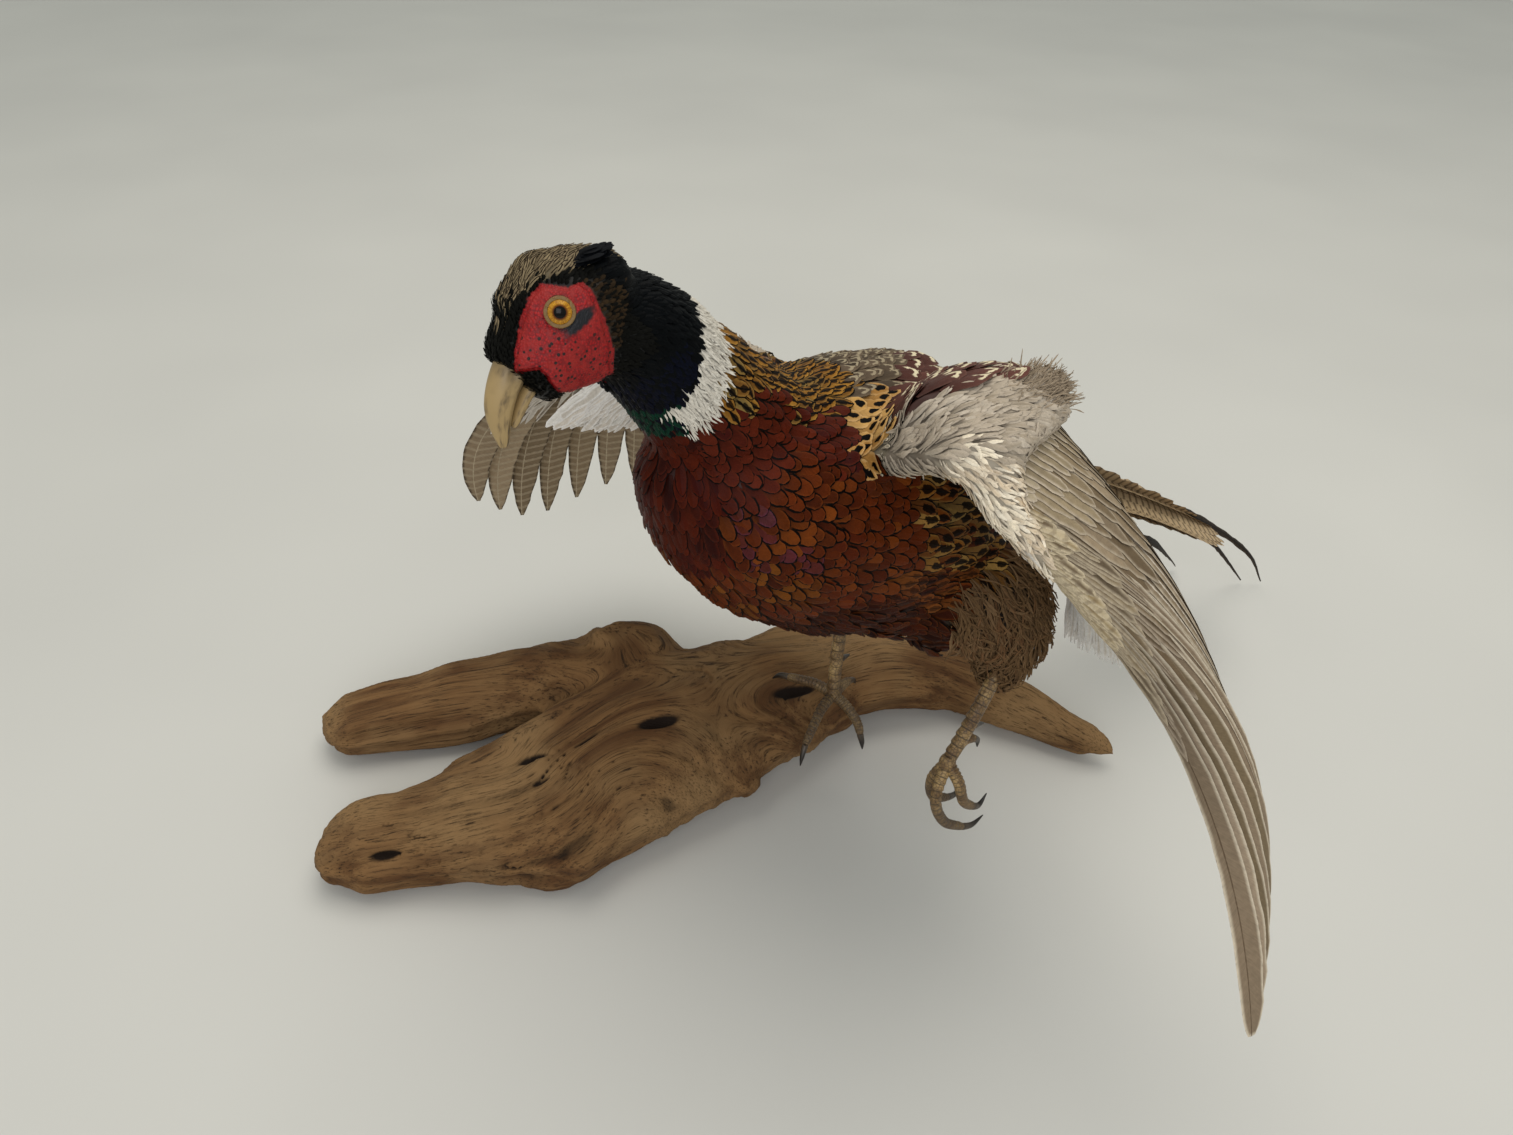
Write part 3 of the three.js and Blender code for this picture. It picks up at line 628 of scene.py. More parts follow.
def edge_distance(across, up, outline):
    """How far inside a closed outline each place is, negative outside."""
    p = np.stack([across, up], -1)[:, None]
    a, b = outline, np.roll(outline, -1, 0)
    ab = b - a
    t = np.clip(dot(p - a, ab) / dot(ab, ab), 0, 1)
    near = norm(p - a - ab * t[..., None]).min(1)
    crosses = (a[:, 1] > p[..., 1]) != (b[:, 1] > p[..., 1])
    x = a[:, 0] + ab[:, 0] * (p[..., 1] - a[:, 1]) / np.where(ab[:, 1] == 0, 1e-9, ab[:, 1])
    inside = (crosses & (p[..., 0] < x)).sum(1) % 2 == 1
    return np.where(inside, near, -near)


def bareness(places):
    """Millimetres inside the bare red face, negative on feathered skin."""
    across, up, own, right = cheek(places)
    depth = edge_distance(across - 8.0 * right, up + 4.0 * right, BARE_OUTLINE)
    hidden = (own[:, 1] > -4) | (own[:, 0] > 22)
    return np.where(hidden, -5.0, depth)


def neck_measures(places):
    """How far down the neck and how far up to the nape."""
    away = places - NECK_MIDDLE
    return away @ NECK_WAY, away @ NAPE_WAY


def looks_at(places, jitter=1.0):
    """Which look each place wears."""
    count = len(places)
    blur = rng.uniform(-1, 1, count) * jitter
    away = norm(places[:, None] - site_places[None]) / site_radii
    away += rng.uniform(0, 0.22, away.shape) * jitter
    look = site_looks[away.argmin(1)]

    def wear(name, where):
        look[where] = look_number[name]

    wear("breast", (look == look_number["violet"]) & (rng.random(count) < 0.45))
    along, nape = neck_measures(places)
    radial = norm(places - NECK_MIDDLE - along[:, None] * NECK_WAY)
    near_neck = radial < NECK_RADIUS
    ragged = wander(places, 3.5, 7.0) * 2.5 * jitter
    front = RING_FRONT[0] + RING_FRONT[1] * nape + ragged * 1.4
    back = RING_BACK[0] + RING_BACK[1] * nape + ragged
    throat = nape < -15 + ragged
    hood = near_neck & ((along < front) | (throat & (along < 13 + blur)))
    wear("ring", near_neck & (along >= front) & (along < back) & ~throat)
    wear("hood", hood)
    # Painted sheen: patches of blue and green on the black hood.
    blue_sheen = hood & (along > -18) & (nape < 4)
    wear("hood_blue_sheen", blue_sheen & (rng.random(count) < 0.4))
    green_sheen = hood & (along > -2) & (nape < -8)
    wear("hood_green_sheen", green_sheen & (rng.random(count) < 0.75))
    across, up, own, _ = cheek(places)
    on_head = (along < -24) & (own[:, 0] < 30)
    edge = np.interp(across, *CROWN_EDGE) + wander(places, 3, 3.0) * 1.5
    edge -= 7 * smoothstep(-1.0, 5.0, to_head(places)[:, 1])
    faded = smoothstep(-13.0, -2.0, own[:, 0]) + 0.02
    above = (own[:, 2] > 2) & (up > edge) & (own[:, 0] > -24)
    crown = on_head & above & (rng.random(count) < faded)
    wear("crown", crown)
    wear("forehead", on_head & ~crown & (own[:, 0] < 14))
    ear = on_head & (across > 7) & (across < 18) & (up > -12) & (up < 9) & (own[:, 0] > 3)
    wear("ear", ear & ~crown & (rng.random(count) < 0.85))
    wear("bare", on_head & (bareness(places) > 0))
    return look


def pick(key, looks):
    """One value of each feather's look, 0 where the look doesn't give it."""
    return np.array([look.get(key, 0) for look in LOOKS.values()], float)[looks]


def grounds(looks, values):
    """One of each look's ground colours, by a number from 0 to 1."""
    colours = np.zeros((len(looks), 3))
    for i, look in enumerate(LOOKS.values()):
        on = looks == i
        inks = np.array(look["inks"])
        place = values[on] * (len(inks) - 1)
        k = np.minimum(place.astype(int), max(len(inks) - 2, 0))
        w = (place - k)[:, None]
        colours[on] = inks[k] * (1 - w) + inks[np.minimum(k + 1, len(inks) - 1)] * w
    return colours


def dress_of(looks, values):
    """The colours and marks that feathers of these looks wear."""
    ground = grounds(looks, values)
    return {
        "ground": ground,
        "mark": pick("mark", looks),
        "fringe": (pick("fringe", looks) + ground) / 2,
        "cut": np.stack([pick(key, looks) for key in ("edge", "drop", "shaft")], -1),
        "cut2": np.stack([pick(key, looks) for key in ("bars", "crescent", "downy")], -1),
    }


# ---------- the skin ----------

FLESH = ("head", "neck", "trunk", "thigh_left", "thigh_right", "wing_left_arm", "wing_right_arm")
SWELL = 3.2
SKIN_VOXEL, WOOD_VOXEL = 0.0021, 0.0034
EYE_WAY = unit(np.array([-0.27, -0.83, 0.48]))
# How far from where the eye looks its lids begin, in radians, and how far from the eye's
# middle the skin takes their shape and their colour, in mm.
LID_ANGLE = 0.82
LID_SHAPED, LID_COLOURED = 9, 7
# The skin is finer within this distance of the head's middle, and not behind this much of it.
HEAD_REACH, HEAD_BACK = 34, 20
# The dark spot behind the eye, across and up over the cheek.
SPOT_PLACE, SPOT_SIZE, SPOT_TURN = (5.2, -3.2), (6.6, 2.6), math.radians(40)

# Soft parts that join the bones and muscles: places and radii.
FILLS = [
    (-36, -46, 262, 8), (-39, -56, 268, 7.5), (-42, -66, 274, 7), (-44, -76, 279, 6.5), (-45, -86, 282, 6),
    (-30, -52, 272, 9), (-33, -60, 280, 8), (-14, -34, 171, 13), (4, -42, 174, 11), (16, -50, 166, 12),
    (8, -40, 163, 11), (14, -40, 158, 10), (-2, -34, 162, 12), (20, -42, 142, 9), (12, -42, 150, 9),
    (4, -80, 292, 9),
]
# Swellings of the skin: place, radius, height.
BULGES = [
    ((-132, -12, 349), 10, 3.5),
    (from_head((6, -12, -18)), 9, 3.2),
    (from_head((6, 12, -18)), 9, 3.2),
    (from_head((-6, 9, 17)), 7, 2.0),
    (from_head((5, 8, 19)), 8, 2.6),
]


def finished(bm, name):
    mesh = bpy.data.meshes.new(name)
    bm.to_mesh(mesh)
    bm.free()
    mesh.shade_smooth()
    return mesh


def relax(bm, verts, rounds):
    for _ in range(rounds):
        bmesh.ops.smooth_vert(
            bm, verts=verts, factor=0.5, use_axis_x=True, use_axis_y=True, use_axis_z=True
        )


def merged_copy(names, swell=0.0):
    """These nodes in one mesh, each with its own skin moved out by swell metres."""
    whole = bmesh.new()
    for name in names:
        part = bmesh.new()
        part.from_mesh(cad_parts[name].data)
        bmesh.ops.remove_doubles(part, verts=part.verts, dist=1e-5)
        part.normal_update()
        for v in part.verts:
            v.co += v.normal * swell
        between = finished(part, "between")
        whole.from_mesh(between)
        bpy.data.meshes.remove(between)
    return whole


def remeshed(bm, name, voxel):
    """The outside of everything in bm as one even mesh."""
    mesh = finished(bm, name)
    shell = placed(name, mesh)
    modifier = shell.modifiers.new("even", "REMESH")
    modifier.mode = "VOXEL"
    modifier.voxel_size = voxel
    evaluated = shell.evaluated_get(bpy.context.evaluated_depsgraph_get())
    result = bpy.data.meshes.new_from_object(evaluated)
    bpy.data.objects.remove(shell)
    bpy.data.meshes.remove(mesh)
    even = bmesh.new()
    even.from_mesh(result)
    bpy.data.meshes.remove(result)
    return even


def places_of(bm):
    return bird_mm(np.array([v.co for v in bm.verts]).reshape(-1, 3))


def move_to(bm, places):
    for v, co in zip(bm.verts, metres(places).tolist()):
        v.co = co
    bm.normal_update()


def face_outwards(bm):
    """Turn the faces of closed shells outwards, whatever way the recalculation picked."""
    bmesh.ops.recalc_face_normals(bm, faces=bm.faces)
    if bm.calc_volume(signed=True) < 0:
        bmesh.ops.reverse_faces(bm, faces=bm.faces)
    bm.normal_update()


def normals_of(bm):
    bm.normal_update()
    return np.array([v.normal for v in bm.verts])


def coat_depth(looks):
    """How far the skin lies inside the outline of the feathers."""
    return np.clip(pick("lift", looks) * 1.25, 0.4, 4.5)


def shaped_lids(places):
    """The skin round each eye raised into two lids over the eyeball."""
    own = to_head(places)
    for side in (1, -1):
        centre, way = mirrored(EYE_PLACE, side), mirrored(EYE_WAY, side)
        away = own - centre
        distance = norm(away)
        angle = np.arccos(np.clip(dot(unit(away), way), -1, 1))
        lid = EYE_RADIUS + 0.75 * np.exp(-(((angle - LID_ANGLE - 0.1) / 0.13) ** 2)) + 0.15
        open_ = smoothstep(LID_ANGLE - 0.06, LID_ANGLE + 0.02, angle)
        wanted = np.where(angle < LID_ANGLE + 0.5, lid, distance)
        wanted = np.maximum(wanted, np.where(angle < LID_ANGLE + 0.25, lid, distance))
        inner = (EYE_RADIUS - 0.8) * (1 - open_) + wanted * open_
        blend = 1 - smoothstep(LID_ANGLE + 0.2, LID_ANGLE + 0.5, angle)
        radius = distance * (1 - blend) + inner * blend
        own = np.where(distance[:, None] < LID_SHAPED, centre + unit(away) * radius[:, None], own)
    return from_head(own)


def make_skin():
    bm = merged_copy(FLESH, SWELL * MM)
    plugs = [(from_head(mirrored(EYE_PLACE, side)), 6.5, 16, 10) for side in (-1, 1)]
    plugs += [((x, y, z), radius + SWELL, 24, 14) for x, y, z, radius in FILLS]
    for place, radius, around, down in plugs:
        bmesh.ops.create_uvsphere(
            bm, u_segments=around, v_segments=down, radius=radius * MM,
            matrix=Matrix.Translation(metres(place)),
        )
    bm = remeshed(bm, "body_skin", SKIN_VOXEL)
    relax(bm, bm.verts, 3)
    own = to_head(places_of(bm))
    for v, p in zip(bm.verts, own.tolist()):
        v.tag = p[0] < HEAD_BACK and math.hypot(*p) < HEAD_REACH
    on_head = [e for e in bm.edges if e.verts[0].tag and e.verts[1].tag]
    bmesh.ops.subdivide_edges(bm, edges=on_head, cuts=3, use_grid_fill=True, smooth=0.6)
    bmesh.ops.triangulate(bm, faces=[f for f in bm.faces if len(f.verts) > 4])
    places, normals = places_of(bm), normals_of(bm)
    bare = smoothstep(-1.0, 1.5, bareness(places))
    depth = coat_depth(looks_at(places, 0)) * (1 - bare)
    bumps = wander(places, 1.1, 2.0) * 0.14 + wander(places, 4.0, 5.0) * 0.3
    places = places - normals * (SWELL - 0.6 + depth - bumps * bare)[:, None]
    for place, radius, height in BULGES:
        away = norm(places - place) / radius
        places = places + normals * (height * np.exp(-(away**2)))[:, None]
    move_to(bm, places)
    relax(bm, [v for v, b in zip(bm.verts, bare) if b < 0.05], 2)
    move_to(bm, shaped_lids(places_of(bm)))
    face_outwards(bm)
    return bm


SPINE = [
    (-172, -8, 322), (-150, -3, 334), (-120, -3, 322), (-85, 0, 280), (-40, 0, 225),
    (40, 0, 195), (125, 0, 190),
]
SPINE_LENGTH = 420


def unwrap(places):
    """Places on a map of the body: along the spine, and round it."""
    t = np.linspace(0, 1, 60)
    spine = spline(SPINE, t)
    near = norm(places[:, None] - spine[None]).argmin(1)
    away = places - spine[near]
    angle = np.arctan2(away[:, 1], away[:, 2] + 0.3 * away[:, 0])
    beyond = dot(away, unit(np.gradient(spine, axis=0))[near]) / SPINE_LENGTH
    along = np.clip((near + 0.5) / len(t) + beyond, 0, 1)
    return 0.02 + 0.95 * np.stack([angle / math.tau + 0.5, along], -1)


def skin_material():
    material, tree, shader = new_material("skin", 0.55, Specular_IOR_Level=0.35)
    bare = attribute(tree, "bare", "Fac")
    tone = attribute(tree, "ground", "Color")
    place = object_place(tree)
    grain = step(cells_at(place, 1150.0, 0.9), 0.75, 0.1)
    red = mix(grain, "70060e", "aa1013")
    red = mix(step(noise_at(place, 260.0, 4.0), 0.35, 0.7), red, "981c18")
    speck = times(step(cells_at(place, 480.0, 1.0), 0.32, 0.2), attribute(tree, "speckle", "Fac"))
    red = mix(speck, red, "1c0808")
    red = mix(attribute(tree, "eyespot", "Fac"), red, "14161c")
    red = mix(attribute(tree, "lid", "Fac"), red, "80653c")
    feed(shader["Base Color"], mix(bare, tone, red))
    add_bump(shader, times(grain, bare), 0.45, 0.0004)
    return material


def face_values(places):
    """Where the skin is bare, specked, dark behind the eye or an eyelid."""
    across, up, own, _ = cheek(places)
    bare = smoothstep(-0.4, 0.5, bareness(places) + wander(places, 1.2, 9.0) * 0.7)
    speckle = smoothstep(0, -9, up)
    cos, sin = math.cos(SPOT_TURN), math.sin(SPOT_TURN)
    from_spot = np.stack([across, up], -1) - SPOT_PLACE
    lengthwise, sideways = from_spot @ (cos, sin), from_spot @ (-sin, cos)
    far = np.hypot(lengthwise / SPOT_SIZE[0], sideways / SPOT_SIZE[1])
    spot = smoothstep(1.15, 0.75, far + wander(places, 1.5, 4.0) * 0.25)
    away = own - EYE_PLACE
    angle = np.arccos(np.clip(dot(unit(away), EYE_WAY), -1, 1))
    lid = smoothstep(LID_ANGLE + 0.2, LID_ANGLE + 0.1, angle) * (norm(away) < LID_COLOURED)
    return {"bare": bare, "speckle": speckle, "eyespot": spot, "lid": lid}


skin_bm = make_skin()
skin_places, skin_normals = places_of(skin_bm), normals_of(skin_bm)
skin_tree = BVHTree.FromBMesh(skin_bm)
face_corners = [[v.index for v in f.verts] for f in skin_bm.faces]
face_areas = np.array([f.calc_area() for f in skin_bm.faces]) / MM**2
face_middles = bird_mm(np.array([f.calc_center_median() for f in skin_bm.faces]))
face_first, face_third = (np.array([c[k] for c in face_corners]) for k in (0, 2))
skin_mesh = finished(skin_bm, "body_skin")
skin_looks = looks_at(skin_places, 0)
undercoat = grounds(skin_looks, np.full(len(skin_looks), 0.4)) * 0.5
set_values(skin_mesh, "ground", "Color", undercoat)
for key, value in face_values(skin_places).items():
    set_values(skin_mesh, key, "Float", value)
set_map(skin_mesh, unwrap(skin_places))
show(skin_mesh, skin_material(), "body_plumage", FLESH)

# ---------- planting the small feathers ----------


def on_skin(places):
    """The nearest places on the skin and its normals there."""
    found = np.empty_like(places)
    faces = np.empty(len(places), int)
    for i, co in enumerate(metres(places).tolist()):
        hit, _, face, _ = skin_tree.find_nearest(co)
        found[i] = hit
        faces[i] = face
    normals = unit(skin_normals[face_first[faces]] + skin_normals[face_third[faces]])
    return bird_mm(found), normals


def crowded(p, gap, others):
    """Whether a place is nearer than the gap to any of the others."""
    return any(
        (p[0] - q[0]) ** 2 + (p[1] - q[1]) ** 2 + (p[2] - q[2]) ** 2 < gap * gap for q in others
    )


# Places tried for each feather, and how near two of a look may stand: a share of its spacing.
TRIES, NEAREST = 5, 0.86


def scattered():
    """Roots over the skin, evenly apart by each look's spacing."""
    wanted = face_areas / pick("spacing", looks_at(face_middles, 0)) ** 2
    count = int(TRIES * wanted.sum())
    chosen = rng.choice(len(wanted), count, p=wanted / wanted.sum())
    corners = [face_corners[i] for i in chosen]
    share = rng.dirichlet((1, 1, 1), count)
    half = rng.random(count) < 0.5
    start = np.array([c[0] for c in corners])
    second = np.array([c[1] if h else c[-1] for c, h in zip(corners, half)])
    third = np.array([c[2] if h or len(c) == 3 else c[-2] for c, h in zip(corners, half)])
    places = (
        skin_places[start] * share[:, :1]
        + skin_places[second] * share[:, 1:2]
        + skin_places[third] * share[:, 2:]
    )
    looks = looks_at(places)
    apart = pick("spacing", looks) * NEAREST
    taken, kept = {}, []
    for i, (p, gap, look) in enumerate(zip(places.tolist(), apart.tolist(), looks.tolist())):
        cell = [int(c // gap) for c in p]
        around = itertools.product(*((c - 1, c, c + 1) for c in cell))
        if not any(crowded(p, gap, taken.get((look, *near), ())) for near in around):
            taken.setdefault((look, *cell), []).append(p)
            kept.append(i)
    return places[kept], looks[kept]


# The rows of a small feather, from its root, and its width at each.
ALONG = np.array([0.0, 0.3, 0.58, 0.8, 0.93, 1.0])
TIP_SHAPE = np.array([0.35, 0.8, 1.0, 0.9, 0.6, 0.14])


def led_over(roots, looks, lengths, lifts):
    """Each feather's spine, led over the skin from its root, with its side and up vectors."""
    spine, side, up = [], [], []
    place, normal = on_skin(roots)
    way = lie_at(place, normal)
    swing = rng.normal(0, 1, len(roots)) * (0.07 + 0.25 * pick("downy", looks) ** 2)
    way = unit(way + np.cross(normal, way) * swing[:, None])
    curl = 0.2 + pick("downy", looks) ** 3
    bend = (rng.normal(0, 1, len(roots)) * curl)[:, None]
    for k, v in enumerate(ALONG):
        if k:
            place, normal = on_skin(place + way * (lengths * (v - ALONG[k - 1]))[:, None])
            way = unit(way - normal * dot(way, normal)[:, None] + np.cross(normal, way) * bend * 0.25)
        raised = lifts * (0.1 + 0.9 * v**1.1)
        spine.append(place + normal * raised[:, None])
        side.append(np.cross(way, normal))
        up.append(normal)
    return (np.stack(a, 1) for a in (spine, side, up))


def cover(coat, roots, looks):
    """Plant feathers of these looks at these roots."""
    count = len(roots)
    lengths = pick("length", looks) * rng.uniform(0.85, 1.15, count)
    lengths = lengths * (0.4 + 0.6 * smoothstep(0.0, 5.0, -bareness(roots)))
    lifts = pick("lift", looks) * rng.uniform(0.75, 1.2, count)
    spine, side, up = led_over(roots, looks, lengths, lifts)
    half = (pick("width", looks) / 2 * rng.uniform(0.9, 1.1, count))[:, None] * TIP_SHAPE
    half = half * (1 + pick("ragged", looks)[:, None] * rng.uniform(-1, 0.6, half.shape))
    tone = np.clip(0.5 + wander(roots, 14, 1.0) * 0.9 + rng.normal(0, 0.22, count), 0, 1)
    dress = dress_of(looks, tone)
    dress["ground"] = dress["ground"] * rng.uniform(0.82, 1.18, (count, 1))
    dress["cut"] = dress["cut"] * rng.uniform((0.55, 1, 0.55), (1.1, 1, 1.1), (count, 3))
    halves = np.repeat(half[..., None], 2, -1)
    coat.add(spine, side, up, halves, lengths * 0.035, dress, unwrap(roots))


plume = plumage_material("plumage", 0.05)
glossy = plumage_material("glossy plumage", 0.07)
hood_plume = plumage_material("hood plumage", 0.05)
# Each piece of the coat: material slot, material, columns of a feather and looks.
COATS = {
    "crown": ("head_plumage", hood_plume, 3, ("forehead", "crown", "ear")),
    "neck": ("neck_plumage", hood_plume, 3, ("hood", "hood_blue_sheen", "hood_green_sheen")),
    "ring": ("neck_plumage", plume, 3, ("ring",)),
    "mantle": ("body_plumage", plume, 5, ("mantle", "back", "rump")),
    "breast": ("body_plumage", glossy, 5, ("shoulder", "breast", "violet", "front", "lower")),
    "belly": ("body_plumage", plume, 5, ("belly", "rust", "straw", "vent")),
    "scapulars": ("wing_coverts", plume, 5, ("scapular", "buff", "bib")),
    "coverts": ("wing_coverts", plume, 3, ("soft", "cream", "underwing")),
    "thighs": ("thigh_plumage", plume, 3, ("thigh",)),
}
planted, planted_looks = scattered()
for name, (slot, material, columns, names) in COATS.items():
    coat = Coat(len(ALONG), columns)
    on = np.isin(planted_looks, [look_number[n] for n in names])
    cover(coat, planted[on], planted_looks[on])
    coat.build(f"plumage_{name}", material, slot)

# ---------- wings and tail ----------


class Row:
    """The curved surface that a row of flight feathers lies in: across by a, along by b."""

    def __init__(self, roots, crests, tips, out):
        self.curves, self.out = (roots, crests, tips), out

    def at(self, a, b):
        root, crest, tip = (spline(c, a) for c in self.curves)
        b = b[..., None]
        return root * (1 - b) ** 2 + crest * 2 * b * (1 - b) + tip * b * b

    def frames(self, a, b):
        """Place, side and up vectors; side points to growing a."""
        h = 0.012
        place = self.at(a, b)
        along = unit(self.at(a, np.minimum(b + h, 1)) - self.at(a, np.maximum(b - h, 0)))
        across = self.at(np.minimum(a + h, 1), b) - self.at(np.maximum(a - h, 0), b)
        side = unit(across - along * dot(across, along)[..., None])
        up = np.cross(side, along) * self.out
        return place, side, up

    def pitch(self, a, b, gap):
        """How far apart two feathers are that differ by gap in a."""
        return norm(self.at(a + gap / 2, b) - self.at(a - gap / 2, b))


WINGS = {
    "left": Row(
        [(14, -68, 288), (-2, -76, 289), (-20, -84, 286), (-38, -92, 280), (-34, -106, 264),
         (-28, -119, 250), (-21, -131, 237)],
        [(25, -80, 260), (20, -114, 264), (16, -139, 258), (10, -153, 245), (12, -178, 229),
         (8, -192, 202), (10, -194, 179)],
        [(46, -128, 211), (37, -148, 206), (31, -166, 196), (30, -182, 178), (23, -206, 148),
         (5, -225, 117), (-20, -240, 92)],
        1,
    ),
    "right": Row(
        [(14, 60, 244), (2, 72, 248), (-16, 82, 256), (-36, 92, 270), (-35, 108, 258),
         (-30, 121, 246), (-25, 134, 234)],
        [(52, 76, 206), (50, 104, 216), (44, 130, 222), (30, 160, 226), (2, 187, 216),
         (-44, 200, 208), (-100, 198, 205)],
        [(78, 76, 130), (76, 112, 126), (70, 150, 120), (58, 196, 110), (28, 236, 92),
         (-24, 246, 84), (-68, 236, 118)],
        -1,
    ),
}
AXILLARIES = {
    "left": Row(
        [(26, -70, 266), (14, -78, 270), (0, -86, 272)],
        [(78, -76, 200), (62, -92, 206), (42, -106, 214)],
        [(92, -68, 122), (74, -96, 138), (54, -120, 158)],
        1,
    ),
    "right": Row(
        [(10, 62, 238), (-22, 86, 252), (-34, 112, 246)],
        [(12, 104, 214), (-22, 116, 222), (-52, 130, 226)],
        [(16, 150, 178), (-22, 150, 186), (-66, 152, 202)],
        -1,
    ),
}
# How far out along a wing its wrist is.
WRIST = 0.53
# Outlines of flight feathers: places along them and widths there.
FINGER = ([0, 0.85, 0.94, 0.98, 1], [1, 1, 0.9, 0.68, 0.3])
FAR_FINGER = ([0, 0.5, 0.7, 0.86, 0.95, 1], [1.2, 1.2, 1.05, 0.84, 0.5, 0.12])
BROAD = ([0, 0.7, 0.88, 0.96, 1], [1, 1, 0.86, 0.55, 0.12])
LANCE = ([0, 0.15, 0.7, 0.88, 0.96, 1], [0.8, 1, 0.95, 0.7, 0.4, 0.1])


def plain_dress(count, inks, mark, fringe, shaft=0.0, bars=0.0, downy=0.5):
    """The colours and marks of feathers that each take one of the inks."""
    values = np.array([ink(code) for code in inks.split()])
    ground = values[rng.integers(0, len(values), count)] * rng.uniform(0.88, 1.12, (count, 1))
    same = {"mark": ink(mark), "fringe": ink(fringe), "cut": [0, 0, shaft], "cut2": [bars, 0, downy]}
    return {"ground": ground, **{key: np.tile(value, (count, 1)) for key, value in same.items()}}


def flight_row(coat, row, first, last, dress, layer=0.0, reach=1.0, shape=BROAD, inner=0.95,
               outer=0.5, tilt=0.9, jitter=0.0, ragged=0.03, least=0.35, period=5.0, width=None):
    """A row of overlapping feathers on the row's surface, each with its narrow vane on the
    leading side and its broad one tucked under the next. It runs from first to last across the
    surface, and reach is how far along it the feathers end."""
    count = len(dress["ground"])
    v = 1 - (1 - np.linspace(0, 1, coat.rows)) ** 1.35
    gap = (last - first) / (count - 1)
    start = np.clip(rng.uniform(-1, 1, count) * jitter, 0, 1)
    stop = np.clip(reach + rng.uniform(-1, 1, count) * jitter * 1.4, 0, 1)
    b = start[:, None] + (stop - start)[:, None] * v
    a = np.repeat(np.linspace(first, last, count)[:, None], coat.rows, 1)
    place, side, up = row.frames(a, b)
    apart = row.pitch(np.clip(a, gap / 2, 1 - gap / 2), b, gap)
    if width is not None:
        apart = np.full_like(apart, width)
    profile = np.interp(v, *shape) * np.interp(v, [0, 0.12], [0.3, 1])
    broad = np.maximum(apart, apart.mean() * least) * profile
    half = np.stack([broad * inner, broad * outer], -1)
    lift = layer + 0.25 * np.sin(np.pi * v)
    tilt = np.linspace(*tilt, count)[:, None, None] if np.ndim(tilt) else tilt
    turned = unit(side + up * tilt * 0.14)
    above = unit(np.cross(side, np.cross(up, side)))
    home = np.stack([(np.arange(count) + 0.5) / count, np.full(count, 0.01)], -1)
    coat.add(
        place + up * lift[:, None], turned, above, half, apart.mean(1) * 0.05, dress, home,
        ragged, np.array([0.9 / count, 0.97]), period,
    )


remex = plumage_material("flight feathers", 0.08)
# The hand's feathers: how many, inks, mark, fringe, shaft, bars and how they are laid.
HANDS = {
    "left": (
        10, "857460 958470 76664f", "5f4f3e", "c8bba6", 0.22, 0.03,
        {"shape": FINGER, "inner": 0.8, "tilt": (1.2, -1.6)},
    ),
    "right": (
        # The right hand's dark fringe is painted shade: the shadow that each finger casts on the next.
        8, "96836a a08d73 8a785f", "b8a98f", "4e4234", 0.3, 0.5,
        {"shape": FAR_FINGER, "inner": 0.72, "tilt": 2.4, "period": 7.0, "width": 14.2},
    ),
}
ARM_INKS = {
    "left": ("7d6d58 8c7b65 6e5e49", "b8aa94"),
    "right": ("93836e a0907a", "c0b4a0"),
}
# Rows of upper coverts: feathers, reach, layer, inks, fringe, bars and the part they are on.
ARM, HAND = (0.02, 0.52), (0.54, 0.99)
UPPER_COVERTS = (
    (13, 0.50, 1.2, "7c6c57 8a7962 6e5e49", "a89a86", 0.1, ARM),
    (15, 0.39, 1.8, "857560 93826b 766650", "a89a86", 0.1, ARM),
    (17, 0.28, 2.4, "86765e 96866c", "b0a28e", 0.1, ARM),
    (20, 0.17, 3.0, "96876e a89a82", "bcae9a", 0.1, ARM),
    (24, 0.42, 1.0, "665642 74644e 584a39", "9a8c7a", 0.15, HAND),
    (26, 0.27, 1.7, "72624c 88785e 5e5140", "a89a84", 0.2, HAND),
    (30, 0.15, 2.3, "96825f bcab8c 6a5a45", "c0b195", 0.35, HAND),
)
# A pale band over the tip of the right hand: feathers, reach and layer.
FAR_BAND = ((24, 0.5, 2.2), (24, 0.44, 3.4), (24, 0.36, 4.6), (24, 0.26, 5.6), (24, 0.42, -3.4))


def downy_rows(coat, row, part, layers, inks, mark, fringe, **laid):
    """Rows of downy feathers over one part of a surface: feathers, reach and layer of each."""
    for count, reach, layer in layers:
        dress = plain_dress(count, inks, mark, fringe, downy=1.0)
        flight_row(coat, row, *part, dress, layer, reach, **laid)


